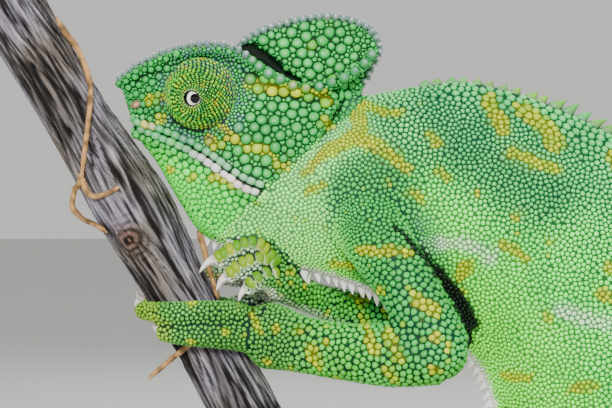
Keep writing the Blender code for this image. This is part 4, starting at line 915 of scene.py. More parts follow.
def crest_places():
    """Special scales in rows, as (place, way out, tangent, pitch, height, kind)."""
    rows = []
    back = [(row[0], 0.0, row[1]) for row in BODY[2:]] + [BACK_ROW_END]
    for place, tangent, share in rows_of_places(back, lambda s: 2.35 + 0.40 * math.sin(s * 3.1), start=3.0):
        out = np.array([tangent[2], 0.0, -tangent[0]]) * -1.0
        height = 0.7 + 1.5 * smooth_step(0.10, 0.24, share) * (1 - 0.75 * smooth_step(0.62, 1.0, share))
        rows.append((place, out, tangent, 2.75, float(height), "back"))
    belly = [(row[2], 0.0, row[3]) for row in BODY]
    for place, tangent, share in rows_of_places(belly, 1.62, start=2.0):
        out = np.array([tangent[2], 0.0, -tangent[0]])
        rows.append((place, out, tangent, 2.15, 1.75 * (0.70 + 0.30 * math.sin(math.pi * share)), "belly"))
    for sign, brow in ((1, BROW), (-1, mirrored(BROW))):
        for place, tangent, share in rows_of_places(brow, lambda s: 1.35 + 1.05 * float(smooth_step(0.42, 0.6, s)),
                                                    start=0.5, end=0.8):
            behind = float(smooth_step(0.40, 0.55, share))
            out = square_to(tangent, np.array([0.0, -(0.6 + 0.6 * behind) * sign, 1.0 - 0.75 * behind]))
            rows.append((place, out, tangent, 1.45 + 0.65 * behind, 0.72 + 0.10 * behind, "brow"))
    edge = [(x, 0.0, z) for x, z in CREST_EDGE]
    for side in (0.0, 1.0, -1.0):
        for place, tangent, _ in rows_of_places(edge, 1.5, start=3.4 + 0.75 * abs(side), end=1.0):
            out = square_to(tangent, place - SAIL_MIDDLE)
            leaning = unit(out * (1.0 - 0.35 * abs(side)) + (0.0, -0.8 * side, 0.0))
            rows.append((place - out * 0.55 * abs(side) + (0.0, -0.6 * side, 0.0), leaning, tangent, 1.5, 0.50,
                         "sail"))
    for sign, mouth in ((1, MOUTH[1:]), (-1, mirrored(MOUTH[1:]))):
        for lift in (0.56, -0.56):
            out = np.array([0.0, -float(sign), 0.25 * math.copysign(1.0, lift)]) / 1.031
            for place, tangent, _ in rows_of_places(mouth, 1.62, start=0.3 if lift > 0 else 1.1):
                rows.append((place + (0.0, 0.0, lift), out, tangent, 1.5, 0.10, "lip"))
        rows.append((np.array(NOSTRIL) * (1, sign, 1), np.array([-0.25, -float(sign), 0.0]),
                     np.array([0.92, 0.0, 0.38]), 1.7, 0.16, "nose"))
    for toe in RIGHT_TOES:
        line = np.array([row[:4] for row in toe[:-1]])
        aside = -1.0 if line[-1, 1] < 0 else 1.0
        for place, tangent, share in rows_of_places(line[:, :3], 1.12, start=3.6):
            thick = float(np.interp(share, np.linspace(0, 1, len(line)), line[:, 3]))
            out = square_to(tangent, np.array([0.0, aside * 0.80, 0.60]))
            rows.append((place + out * thick, out, tangent, 1.8, 0.34, "plate"))
    return rows


def scattered(surface):
    """Every scale's place, its way out, its size and what it is; the rows of the crests come first."""
    rng = np.random.default_rng(SEED)
    points, faces, tree, normals = surface.points, surface.quads, surface.tree, surface.normals
    fixed, seats = [], []
    for place, out, *rest in crest_places():
        spot, _, face, _ = tree.find_nearest(Vector(place + out * 0.8))
        fixed.append((np.array(spot), out, *rest))
        seats.append(face)
    corner = points[faces]
    one, two, three = (corner[:, k] - corner[:, 0] for k in (1, 2, 3))
    area = (np.linalg.norm(np.cross(one, two), axis=1) + np.linalg.norm(np.cross(two, three), axis=1)) / 2
    pitch_here = surface.pitch[faces[:, 0]]
    weight = area / (pitch_here * np.where(surface.mixing[faces[:, 0]], 0.5, 1.0)) ** 2
    count = int(weight.sum() * PACKING * TRIES)
    chosen = np.sort(rng.choice(len(faces), size=count, p=weight / weight.sum()))
    a, b = rng.random((2, count, 1))
    quad = corner[chosen]
    spots = (quad[:, 0] * (1 - a) + quad[:, 1] * a) * (1 - b) + (quad[:, 3] * (1 - a) + quad[:, 2] * a) * b
    pitch = pitch_here[chosen] * (1 + 0.05 * rng.standard_normal(count))
    mixing = surface.mixing[faces[chosen, 0]]
    draw = rng.random(count)
    share = np.where(draw < LARGE, 1.04, np.where(draw < MIDDLING, 0.74, 0.30 + 0.26 * rng.random(count)))
    pitch = np.where(mixing, pitch * share, pitch)
    rank = np.where(mixing & (draw >= MIDDLING), 3 - share, np.where(mixing & (draw >= LARGE), 1, 0))
    rank = rank + rng.random(count) * 0.9
    facing = normals[faces[chosen, 0]]
    home = tree_of(spots)
    mouth = through(MOUTH, 40)[:, [0, 2]]
    alive = (to_stroke(spots[:, [0, 2]], mouth) > 1.25) | (spots[:, 0] > -50.4)
    for place, _, _, size, _, _ in fixed:
        for _, j, away in home.find_range(Vector(place), TOUCH * (size + 2.4) / 2):
            if away < 0.80 * (size + pitch[j]) / 2:
                alive[j] = False
    kept = []
    sizes, state = pitch.tolist(), alive.tolist()
    for i in np.argsort(rank, kind="stable").tolist():
        if not state[i]:
            continue
        kept.append(i)
        for _, j, away in home.find_range(spots[i], TOUCH * sizes[i] * 1.15):
            if state[j] and away < TOUCH / 2 * (sizes[i] + sizes[j]) and facing[j] @ facing[i] > -0.2:
                state[j] = False
    kept = np.array(kept)
    spots = np.vstack([np.array([row[0] for row in fixed]), spots[kept]])
    pitch = np.concatenate([[row[3] for row in fixed], pitch[kept]])
    seat = np.concatenate([seats, chosen[kept]])
    return settled(spots, pitch, seat, len(fixed), surface), pitch, fixed


def neighbours(spots, count):
    """Indices of the nearest places to each place, itself left out."""
    home = tree_of(spots)
    return np.array([[j for _, j, _ in home.find_n(spot, count + 1)][1:] for spot in spots])


def settled(spots, pitch, seat, still, surface, rounds=4):
    """Places pushed apart on the surface until they stand evenly; the first `still` of them don't move."""
    tree, faces, normals = surface.tree, surface.quads, surface.normals
    for _ in range(rounds):
        near = neighbours(spots, 7)
        away = spots[:, None] - spots[near]
        length = np.maximum(np.linalg.norm(away, axis=2), 1e-6)
        wanted = (pitch[:, None] + pitch[near]) / 2 * 1.02
        agree = (normals[faces[seat, 0]][:, None] * normals[faces[seat[near], 0]]).sum(2) > -0.1
        push = np.clip(wanted - length, 0, None) * agree
        move = (away / length[..., None] * push[..., None]).sum(1) * 0.30
        limit = 0.35 * pitch / np.maximum(np.linalg.norm(move, axis=1), 1e-9)
        move *= np.minimum(1.0, limit)[:, None]
        move[:still] = 0
        spots = spots + move
        for i in range(still, len(spots)):
            found, _, face, _ = tree.find_nearest(spots[i])
            spots[i] = found
            seat[i] = face
    return spots, seat


def outlines(spots, facing, pitch, sides, groove):
    """For each place the reach of its scale in `sides` directions, half way to its neighbours, less a groove."""
    helper = np.where(np.abs(facing[:, 1:2]) < 0.8, [[0.0, 1.0, 0.0]], [[0.0, 0.0, 1.0]])
    across = unit(np.cross(helper, facing))
    up = np.cross(facing, across)
    near = neighbours(spots, 12)
    away = spots[near] - spots[:, None]
    dx, dy = (away * across[:, None]).sum(2), (away * up[:, None]).sum(2)
    off = np.abs((away * facing[:, None]).sum(2))
    square = dx**2 + dy**2
    usable = (off < 0.8 * np.sqrt(square + off**2)) & ((facing[near] * facing[:, None]).sum(2) > 0.1)
    gain = square + (pitch[:, None] / 2) ** 2 - (pitch[near] / 2) ** 2
    reach = np.empty((len(spots), sides))
    for k, turn in enumerate(turns(sides)):
        toward = dx * math.cos(turn) + dy * math.sin(turn)
        reach[:, k] = np.where(usable & (toward > 1e-4), gain / (2 * np.maximum(toward, 1e-4)), FAR).min(1)
    half = (pitch / 2)[:, None]
    reach = np.clip(reach, NARROWEST * half, WIDEST * half)
    reach = (1 - 2 * ROUNDING) * reach + ROUNDING * (np.roll(reach, 1, 1) + np.roll(reach, -1, 1))
    return reach - groove * np.minimum(pitch, 1.2)[:, None] / 2 - SEAM, across, up


def turns(sides):
    """The direction of each side of a scale."""
    return np.arange(sides) * 2 * math.pi / sides


def blunt(wide, long, turn, power=3.2):
    """The reach of a rounded rectangle in each direction."""
    return (np.abs(np.cos(turn) / wide) ** power + np.abs(np.sin(turn) / long) ** power) ** (-1 / power)


def oval(wide, long, turn):
    """The reach of an oval in each direction."""
    wide, long = np.asarray(wide)[..., None], np.asarray(long)[..., None]
    return wide * long / np.hypot(long * np.cos(turn), wide * np.sin(turn))


# Meshes from repeated forms

def spun(profile, steps):
    """A form turned about the Z axis from (radius, height) steps, with its seam closed."""
    bm = bmesh.new()
    verts = [bm.verts.new((radius, 0.0, height)) for radius, height in profile]
    edges = [bm.edges.new(pair) for pair in zip(verts, verts[1:])]
    bmesh.ops.spin(bm, geom=verts + edges, cent=(0, 0, 0), axis=(0, 0, 1), angle=2 * math.pi, steps=steps,
                   use_merge=True)
    bmesh.ops.remove_doubles(bm, verts=bm.verts, dist=1e-5)
    return bm


def turned_form(profile, sides):
    """A closed scale turned from its tip down to its root, as points and faces."""
    bm = spun(profile, sides)
    bmesh.ops.holes_fill(bm, edges=bm.edges, sides=0)
    bmesh.ops.recalc_face_normals(bm, faces=bm.faces)
    bm.verts.index_update()
    points = np.array([vert.co[:] for vert in bm.verts])
    faces = [[vert.index for vert in face.verts] for face in bm.faces]
    bm.free()
    return points, faces


def repeated(form, sides, spots, frames, reach, height, lean=None, bend=None):
    """The form at every place: its radius follows the reach of each direction, its height the given one."""
    points, faces = form
    ring = np.hypot(points[:, 0], points[:, 1])
    column = np.round(np.arctan2(points[:, 1], points[:, 0]) / (2 * math.pi) * sides).astype(int) % sides
    turn = turns(sides)[column]
    across, up, out = frames
    wide = reach[:, column] * ring
    placed_points = (spots[:, None] + (wide * np.cos(turn))[..., None] * across[:, None]
                     + (wide * np.sin(turn))[..., None] * up[:, None]
                     + (points[:, 2] * height[:, None])[..., None] * out[:, None])
    level = np.clip(points[:, 2], 0, 1)
    if lean is not None:
        placed_points += (level ** 1.5)[None, :, None] * lean[:, None]
    if bend is not None:
        placed_points -= ((wide * np.cos(turn)) ** 2 / (2 * bend))[..., None] * out[:, None]
    loops = np.concatenate(faces)
    all_loops = (loops[None] + (np.arange(len(spots)) * len(points))[:, None]).ravel()
    all_counts = np.tile([len(face) for face in faces], len(spots))
    flat = np.column_stack([ring * np.cos(turn), ring * np.sin(turn)])[loops] * PATCH / 2
    return placed_points, all_loops, all_counts, flat, level


def mesh_object(name, points, loops, counts, material, tint, uv):
    """A finished piece from arrays in millimetres, with its colours and its map, riding on the model."""
    mesh = bpy.data.meshes.new(name)
    mesh.vertices.add(len(points))
    mesh.vertices.foreach_set("co", (points * MM).ravel())
    mesh.loops.add(len(loops))
    mesh.loops.foreach_set("vertex_index", loops.astype(np.int32))
    mesh.polygons.add(len(counts))
    mesh.polygons.foreach_set("loop_start", (np.cumsum(counts) - counts).astype(np.int32))
    mesh.update(calc_edges=True)
    mesh.validate()
    mesh.uv_layers.new(name="OFBake").data.foreach_set("uv", uv.ravel())
    return placed(name, mesh, tint, material)


def store_tint(mesh, tint):
    """Colours of the points, as light."""
    layer = mesh.color_attributes.new("tint", "FLOAT_COLOR", "POINT")
    rgba = np.column_stack([linear(tint), np.ones(len(tint))])
    layer.data.foreach_set("color", rgba.ravel())


def placed(name, mesh, tint, material):
    """A smooth, coloured object at the origin for a finished mesh, riding on the model."""
    store_tint(mesh, tint)
    mesh.polygons.foreach_set("use_smooth", [True] * len(mesh.polygons))
    mesh.materials.clear()
    mesh.materials.append(material)
    piece = bpy.data.objects.new(name, mesh)
    bpy.context.scene.collection.objects.link(piece)
    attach(piece, "root")
    return piece


def finished(name, bm, tint, material):
    """A piece from a form in millimetres."""
    bmesh.ops.scale(bm, vec=(MM, MM, MM), verts=bm.verts)
    mesh = bpy.data.meshes.new(name)
    bm.to_mesh(mesh)
    bm.free()
    return placed(name, mesh, tint, material)


# Colours of the skin and the scales

def colours(points, group, along, across, thick, facing):
    """(main, middle, seam) for scales or skin at each place: the markings of the animal, with a painted highlight in
    each middle and painted shadow in the cleft, under the eye turrets and behind the left arm.
    """
    own = bpy.context.scene.chameleon_colours
    rough, fine = cloud(points, 7.0), cloud(points, 1.9, 31.0)
    x, y, z = points.T
    side_view = points[:, [0, 2]]
    flat = side_view + np.column_stack([fine, cloud(points, 2.1, 71.0)]) * 0.35
    flat[:, 0] += np.where(y > 0, 1.6 * np.sin(z / 5.0), 0.0)
    is_head, is_neck, is_tail, left_arm, right_arm = (
        group == GROUP[name] for name in ("head", "neck", "tail", "left_foreleg", "right_foreleg"))
    limbs = group >= GROUP["left_foreleg"]
    mouth = through(MOUTH, 40)[:, [0, 2]]
    below = np.interp(flat[:, 0], *mouth.T) - flat[:, 1]
    to_mouth = to_stroke(side_view, mouth)
    low = np.clip(across + 0.06 * rough, 0, 1)
    gular = smooth_step(0.5, 5.0, below)

    # Ground: the trunk from back to belly, a paler neck, then head, limbs and tail
    main = mixed(mixed(own.back_green, own.flank_green, smooth_step(0.12, 0.48, low)), own.belly_green,
                 smooth_step(0.50, 0.85, low))
    dark = mixed(own.seam, TONES["belly seam"], smooth_step(0.25, 0.80, low))
    (hx, hz), (lx, lz) = SHOULDER_CUT
    ahead = ((z - lz) * (hx - lx) - (x - lx) * (hz - lz)) / math.hypot(hx - lx, hz - lz)
    paler = smooth_step(-1.0, 8.0, ahead) * (0.45 + 0.55 * smooth_step(0.05, 0.30, across))
    main = mixed(main, TONES["neck"], 0.8 * paler)
    dark = mixed(dark, TONES["neck seam"], 0.7 * paler)
    main = np.where(is_head[:, None], mixed(own.head_green, TONES["throat"], gular), main)
    dark = np.where(is_head[:, None], mixed(TONES["head seam"], TONES["throat seam"], gular), dark)
    leg = mixed(own.leg_green, TONES["leg patch"], np.clip(0.5 + 0.8 * rough, 0, 1) * 0.7)
    leg = mixed(leg, TONES["hand"], smooth_step(-40.0, -50.0, x) * limbs * 0.85)
    away = smooth_step(0.02, 0.17, along) * limbs
    main, dark = mixed(main, leg, away), mixed(dark, TONES["leg seam"], away)
    bands = np.clip(np.sin(along * 62.0 + 0.8 * rough) * 1.3, -1, 1)
    main = np.where(is_tail[:, None], mixed(own.flank_green, TONES["tail band"], 0.5 - 0.5 * bands), main)
    shoulder = smooth_step(10.5, 5.5, to_stroke(side_view, SHOULDER))
    withers = smooth_step(12.0, 3.0, to_stroke(side_view, WITHERS)) * ~is_head
    for name, share, seam_share in (("shoulder", 0.80 * shoulder, 0.85 * shoulder),
                                    ("withers", 0.62 * withers, 0.65 * withers)):
        main = mixed(main, TONES[name], share)
        dark = mixed(dark, TONES[name + " seam"], seam_share)

    # Yellow bands, spots and specks
    gold = np.zeros(len(points))
    for here, strokes in ((is_head, HEAD_YELLOW), (~is_head & ~limbs & ~is_tail, BODY_YELLOW),
                          (left_arm, ARM_YELLOW)):
        gold = np.where(here, marked(flat, strokes), gold)
    spots = np.sin(along * np.where(is_tail, 88.0, 46.0) + 1.7 * fine) * 0.6 + 0.9 * cloud(points, 3.4, 5.0)
    unseen = is_tail | (limbs & ~left_arm) | (left_arm & (facing[:, 1] > 0.1))
    gold = np.where(unseen, np.clip((spots - 0.52) * 5.0, 0, 1), gold)
    speck = np.clip((cloud(points, 1.6, 13.0) - 0.88) * 5, 0, 1) * (is_head * 0.4 + (limbs | is_neck))
    gold = np.maximum(gold, speck * 0.65) * (0.80 + 0.20 * np.clip(fine + 0.5, 0, 1))
    main, dark = mixed(main, own.yellow, gold), mixed(dark, TONES["yellow seam"], gold * 0.75)

    # Pale streaks, belly line, lips and soles
    white = marked(flat, BODY_PALE, edge=1.4) * ~limbs * ~is_head * np.clip(0.8 + 0.5 * fine, 0, 1)
    under = smooth_step(0.972, 0.995, across) * ~limbs * ~is_tail * ~is_head
    upper_lip = 0.12 + 0.22 * smooth_step(-62.5, -58.5, x)
    lower_lip = 0.15 + 0.70 * smooth_step(-66.0, -60.0, x)
    lips = np.clip((1.9 - to_mouth) / 0.3, 0, 1) * is_head * np.where(below > 0, lower_lip, upper_lip)
    sole = limbs * smooth_step(0.35, 0.75, facing @ (-0.5, 0.0, -0.86)) * smooth_step(4.0, 2.6, thick)
    sole = sole * np.where(left_arm, smooth_step(0.0, 0.4, facing[:, 1]), 1.0)
    for place in LEFT_TIPS:
        tip = left_arm * smooth_step(3.6, 1.8, np.hypot(*(side_view - place).T))
        main = mixed(main, TONES["left tips"], 0.75 * tip)
    main = mixed(main, own.pale, np.clip(white * 0.75 + under + lips + sole * 0.8, 0, 1))
    main = mixed(main, own.pale, right_arm * smooth_step(-49.0, -52.0, x) * 0.55)
    dark = mixed(dark, mixed(main, own.pale, 0.5) * 0.85, np.clip(white * 0.15 + under + sole * 0.5, 0, 1))

    # Folds, rings round the eye, the dark mouth line, and painted shadow in the cleft, under the eye turrets and
    # behind the left arm
    fold = marked(side_view, FOLDS, edge=2.0) * ~limbs
    dark = mixed(dark, TONES["fold seam"], fold * 0.55 * (1 - gold))
    halo = np.hypot(x - EYE_SEAT[0] - 0.3, z - EYE_SEAT[2])
    halo = smooth_step(9.4, 8.2, halo) * is_head * np.clip(np.sin(halo * 7.4) * 1.6 + 0.2, 0, 1)
    main, dark = mixed(main, TONES["halo"], halo * 0.50), mixed(dark, TONES["halo seam"], halo * 0.60)
    line = np.exp(-((to_mouth / 0.42) ** 2)) * is_head * smooth_step(-51.5, -54.5, x)
    dark = mixed(dark, TONES["mouth line"], line)
    # Painted shadow: the seams and skin in the cleft under the sail's front edge are painted near black
    dark = mixed(dark, TONES["cleft"], in_cleft(points) ** 0.5)
    # Painted shadow: a near-black ring in the seams and skin round the lower side of each eye turret, where shade
    # falls under it
    socket = np.hypot(x - EYE_SEAT[0] - 0.2, z - EYE_SEAT[2] + 0.2)
    socket = np.exp(-(((socket - 6.9) / 0.5) ** 2)) * smooth_step(0.2, -3.0, z - EYE_SEAT[2]) * is_head
    dark = mixed(dark, TONES["socket"], socket)
    # Painted shadow: the gap behind the left upper arm is painted near black, and its scales get no pale middles
    arm_shadow = marked(flat, ARM_SHADOW, edge=0.5) * (y < 0) * ~(left_arm & (z < 127.0))
    main, dark = mixed(main, TONES["arm shadow"], 0.92 * arm_shadow), mixed(dark, TONES["arm shadow seam"], arm_shadow)

    # Uneven tone, and the pale mint middles: partly the scales' own paler tone, partly a painted highlight on each
    # dome
    main = np.clip(main * (1 + 0.12 * cloud(points, 0.9, 47.0) + 0.06 * rough)[:, None], 0, 1)
    mint_and_highlight_share = np.where(limbs, 0.52, 0.68) * (1 - gold) * (0.80 + 0.40 * rough.clip(-0.5, 0.8)) * (1 - arm_shadow)
    mint_and_highlight_share = mint_and_highlight_share * (1 - (0.50 - 0.35 * gular) * is_head) * (1 - 0.45 * shoulder)
    return main, mixed(main, own.mint_and_highlight, np.clip(mint_and_highlight_share, 0, 0.8)), dark


# Materials

def shader(name, roughness, specular=0.5):
    """A new material with its node tree and its shader."""
    material = bpy.data.materials.new(name)
    material.use_nodes = True
    principled = material.node_tree.nodes["Principled BSDF"]
    principled.inputs["Roughness"].default_value = roughness
    principled.inputs["Specular IOR Level"].default_value = specular
    return material, material.node_tree, principled


def added(tree, kind, inputs, **settings):
    """A new node with its settings; each input takes a value, or is joined to the socket given for it."""
    node = tree.nodes.new(kind)
    for name, value in settings.items():
        setattr(node, name, value)
    for name, value in inputs.items():
        if isinstance(value, bpy.types.NodeSocket):
            tree.links.new(value, node.inputs[name])
        else:
            node.inputs[name].default_value = value
    return node


def noise_on(tree, scale, detail, stretch=None):
    """Noise over the object's own coordinates, stretched if asked."""
    place = added(tree, "ShaderNodeTexCoord", {}).outputs["Object"]
    if stretch:
        place = added(tree, "ShaderNodeMapping", {"Vector": place, "Scale": stretch}).outputs["Vector"]
    return added(tree, "ShaderNodeTexNoise", {"Vector": place, "Scale": scale, "Detail": detail}).outputs["Fac"]


def spread(tree, value, low, high, start=0.0, end=1.0):
    """A value between `start` and `end`, spread over `low` to `high`."""
    inputs = {"Value": value, "From Min": start, "From Max": end, "To Min": low, "To Max": high}
    return added(tree, "ShaderNodeMapRange", inputs).outputs["Result"]


def darkened(tree, colour, value, principled):
    """The shader's base colour: a colour multiplied by a plain value."""
    grey = added(tree, "ShaderNodeCombineColor", {"Red": value, "Green": value, "Blue": value})
    mix = added(tree, "ShaderNodeMix", {"Factor": 1.0, "A": colour, "B": grey.outputs["Color"]},
                data_type="RGBA", blend_type="MULTIPLY")
    tree.links.new(mix.outputs["Result"], principled.inputs["Base Color"])


def raised(tree, height, strength, distance, principled):
    """Relief from a height, over any relief that the shader has already."""
    inputs = {"Height": height, "Strength": strength, "Distance": distance}
    for link in principled.inputs["Normal"].links:
        inputs["Normal"] = link.from_socket
    tree.links.new(added(tree, "ShaderNodeBump", inputs).outputs["Normal"], principled.inputs["Normal"])


def ramped(tree, value, low, high, start=0.0, end=1.0):
    """A colour that runs from one tone to another."""
    ramp = added(tree, "ShaderNodeValToRGB", {"Fac": value})
    for element, position, tone in zip(ramp.color_ramp.elements, (start, end), (low, high)):
        element.position = position
        element.color = (*linear(tone), 1)
    return ramp.outputs["Color"]


def tinted(name, roughness, specular, mottle, grain_scale, bump, rough_spread):
    """A finish that takes its colour from the points, mottled a little, with fine grain and uneven gloss."""
    material, tree, principled = shader(name, roughness, specular)
    tint = added(tree, "ShaderNodeAttribute", {}, attribute_name="tint").outputs["Color"]
    patch = noise_on(tree, grain_scale * 0.4, 3.0)
    darkened(tree, tint, spread(tree, patch, 1.0 - mottle, 1.0 + mottle), principled)
    gloss = spread(tree, patch, roughness - rough_spread, roughness + rough_spread)
    tree.links.new(gloss, principled.inputs["Roughness"])
    raised(tree, noise_on(tree, grain_scale, 4.0), bump, 0.00012, principled)
    return material


def fibrous(name, roughness, along, coarse, fine, contrast):
    """A tinted finish with dry fibres that run along one direction, in colour and in relief."""
    material = tinted(name, roughness, 0.25, 0.18, fine, 0.5, 0.08)
    tree = material.node_tree
    principled = tree.nodes["Principled BSDF"]
    here = added(tree, "ShaderNodeTexCoord", {}).outputs["Object"]
    along, aside = Vector(along).normalized(), Vector((0, 1, 0))
    axes = {"X": along.cross(aside).normalized(), "Y": aside, "Z": along * 0.09}
    for name, axis in axes.items():
        share = added(tree, "ShaderNodeVectorMath", {0: here, 1: axis}, operation="DOT_PRODUCT")
        axes[name] = share.outputs["Value"]
    place = added(tree, "ShaderNodeCombineXYZ", axes).outputs["Vector"]
    layers = {}
    for k, (scale, detail, low, high) in enumerate(((coarse, 6.0, 1 - contrast, 1 + contrast),
                                                    (fine, 4.0, 0.72, 1.28))):
        inputs = {"Vector": place, "Scale": scale, "Detail": detail, "Roughness": 0.65, "Distortion": 0.25}
        texture = added(tree, "ShaderNodeTexNoise", inputs)
        layers[k] = spread(tree, texture.outputs["Fac"], low, high, 0.34, 0.66)
    fibres = added(tree, "ShaderNodeMath", layers, operation="MULTIPLY").outputs[0]
    darkened(tree, principled.inputs["Base Color"].links[0].from_socket, fibres, principled)
    raised(tree, fibres, 0.9, 0.0003, principled)
    return material


def finish(name):
    """One of the tinted finishes, made the first time that a piece asks for it."""
    if name not in made:
        made[name] = tinted(name, *FINISHES[name])
    return made[name]


def worked_surface():
    """The outline with everything that is asked of its points, made once."""
    if "surface" not in made:
        fused, points = fused_outline()
        quads = np.empty(len(fused.loops), np.int32)
        fused.loops.foreach_get("vertex_index", quads)
        quads = quads.reshape(-1, 4)
        group, along, around, thick, across = sorted_out(points)
        pitch, mixing = pitches(points, group, along, thick, across)
        made["surface"] = SimpleNamespace(
            mesh=fused, points=points, quads=quads, normals=vectors_of(fused.vertices, "normal"), group=group,
            along=along, around=around, thick=thick, across=across, pitch=pitch, mixing=mixing,
            tree=BVHTree.FromPolygons(points.tolist(), quads.tolist()))
    return made["surface"]


def coat(name, profile, sides, base, frames, reach, height, tones, root, lean=None, bend=None):
    """One piece of like scales; its tones are the body's, the tip's and the foot's."""
    form = turned_form(profile, sides)
    points, loops, counts, flat, level = repeated(form, sides, base, frames, reach, height, lean, bend)
    main, centre, dark = (np.broadcast_to(tone, base.shape)[:, None] for tone in tones)
    body = np.clip((level + 0.05) / 0.42, 0, 1)
    # The tip tone covers the top of each dome; on the coat's grains and tubercles it is the pale middle with its
    # painted highlight
    tip = np.clip((level - 0.68) / 0.32, 0, 1) ** 1.4
    tint = dark + (main - dark) * body[None, :, None]
    tint = tint + (centre - tint) * tip[None, :, None]
    uv = (root[:, None] + flat[None]).reshape(-1, 2)
    mesh_object(name, points.reshape(-1, 3), loops, counts, finish("Scale"), tint.reshape(-1, 3), uv)


class OBJECT_OT_chameleon_skin(bpy.types.Operator):
    """Builds the bare skin that lies under the scales, in one piece from snout to tail tip"""
    bl_idname = "object.chameleon_skin"
    bl_label = "Skin"

    def execute(self, context):
        surface = worked_surface()
        depth = context.scene.chameleon_scales.coat_depth / MM
        mesh = surface.mesh.copy()
        mesh.vertices.foreach_set("co", (surface.points - surface.normals * depth).ravel())
        light = evaluated("skin_source", mesh, ("DECIMATE", {"ratio": SKIN_TRIANGLES / (2 * len(surface.quads))}))
        places = vectors_of(light.vertices, "co")
        corner = surface.quads[[surface.tree.find_nearest(place)[2] for place in places], 0]
        main, _, dark = colours(places, *(values[corner] for values in (
            surface.group, surface.along, surface.across, surface.thick, surface.normals)))
        light.transform(Matrix.Scale(MM, 4))
        light.name = "skin"
        skin = placed("skin", light, mixed(dark, main, 0.12), finish("Skin"))
        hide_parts(*FLESH)
        return {"FINISHED"}


class OBJECT_OT_chameleon_scales(bpy.types.Operator):
    """Sets every scale of the coat on the skin, piece by piece, with the rows of the lips and crests"""
    bl_idname = "object.chameleon_scales"
    bl_label = "Scales and Crests"

    def execute(self, context):
        surface = worked_surface()
        settings = context.scene.chameleon_scales
        (spots, seat), pitch, fixed = scattered(surface)
        corner = surface.quads[seat]
        facing = unit(surface.normals[corner].mean(1))
        group, along, around, across, thick = (values[corner[:, 0]] for values in (
            surface.group, surface.along, surface.around, surface.across, surface.thick))
        tones = colours(spots, group, along, across, thick, facing)
        root = np.column_stack([0.01 + 0.98 * np.clip(along, 0, 1), 0.01 + 0.98 * np.clip(around, 0, 1)])
        small = self.shown(spots) & (np.arange(len(spots)) >= len(fixed))
        left, head = spots[:, 1] < 0, group == GROUP["head"]
        parts = [(name, GRAIN, LIMB_SIDES if index >= GROUP["tail"] else BODY_SIDES, group == index)
                 for name, index in GROUP.items() if name != "head"]
        parts += [("head_left", TUBERCLE, HEAD_SIDES, head & left),
                  ("head_right", TUBERCLE, HEAD_SIDES, head & ~left)]
        shapes = {sides: outlines(spots, facing, pitch, sides, settings.groove)
                  for sides in (LIMB_SIDES, BODY_SIDES, HEAD_SIDES)}
        for name, profile, sides, own in parts:
            chosen = np.flatnonzero(own & small)
            reach, aside, up = (values[chosen] for values in shapes[sides])
            height = np.clip(0.21 * pitch[chosen] + 0.16, 0.31, 0.64)
            base = spots[chosen] - facing[chosen] * (settings.coat_depth / MM + 0.02)
            coat("coat_" + name, profile, sides, base, (aside, up, facing[chosen]), reach, height,
                 [tone[chosen] for tone in tones], root[chosen])
        self.crests(spots, fixed, tones, root)
        return {"FINISHED"}

    @staticmethod
    def shown(spots):
        """Scales under the eye turrets and in the cleft are left out."""
        keep = in_cleft(spots) < 0.15
        for sign in (1, -1):
            look = unit(np.array(EYE_LOOK) * (1, sign, 1))
            away = spots - np.array(EYE_SEAT) * (1, sign, 1)
            high = away @ look
            aside = np.linalg.norm(away - high[:, None] * look, axis=1)
            keep &= ~((aside < TURRET_REACH) & (high > TURRET_SPAN[0]) & (high < TURRET_SPAN[1]))
        return keep

    def crests(self, spots, fixed, tones, root):
        """The teeth of the back and belly, the beads of the brows and the sail, the lips, nostrils and plates."""
        own_tones = bpy.context.scene.chameleon_colours
        lilac, pale = np.array(own_tones.lilac), np.array(own_tones.pale)
        rng = np.random.default_rng(SEED + 1)
        for kind, (name, profile, sides, wide, long, sweep, sunk) in ROWS.items():
            own = [i for i, row in enumerate(fixed) if row[5] == kind]
            count = len(own)
            out, tangent, size, height = (np.array([fixed[i][k] for i in own]) for k in (1, 2, 3, 4))
            out = unit(out + rng.normal(0, 0.05, (count, 3)))
            aside = unit(np.cross(tangent, out))
            size = size / 2 * rng.uniform(0.92, 1.12, count)
            if kind in ("plate", "nose"):
                size = np.ones(count)
            height = height * rng.uniform(0.82, 1.15, count)
            reach = size[:, None] * (blunt if sides == 12 else oval)(wide, long, turns(sides))
            along = np.cross(out, aside)
            colour = tones[0][own]
            if kind == "belly":
                body = tips = TONES["belly tooth"]
                foot = mixed(body, colour, 0.3)
            elif kind == "back":
                body = mixed(colour, own_tones.yellow, rng.uniform(0.1, 0.6, count))
                foot, tips = mixed(colour, lilac, 0.75), mixed(body, lilac, rng.uniform(0.1, 0.8, count))
            elif kind == "nose":
                body = np.array(TONES["nostril"])
                tips, foot = body * 0.25, body * 0.5
            elif kind == "lip":
                body = mixed(colour, TONES["lip"], rng.uniform(0.1, 0.7, count) * (colour[:, 0] > 0.5))
                tips, foot = mixed(body, pale, 0.25), mixed(tones[2][own], body, 0.75)
            elif kind == "plate":
                body = tips = mixed(TONES["plate"], TONES["plate patch"], rng.uniform(0.0, 0.75, count))
                foot = pale
            else:
                front = (size < 0.88) * (kind == "brow") * 0.45 + (kind == "sail") * 0.40
                body, foot = mixed(colour, lilac, 0.20 + front), colour * 0.35
                tips = mixed(mixed(lilac, colour, (0.4 - front).clip(0, 1)), pale,
                             rng.uniform(0.1, 0.8, count) * (0.5 + front))
            coat(name, profile, sides, spots[own] - out * sunk, (aside, along, out), reach, height + sunk,
                 (body, tips, foot), root[own], along * (height * sweep)[:, None],
                 PLATE_BEND if kind == "plate" else None)


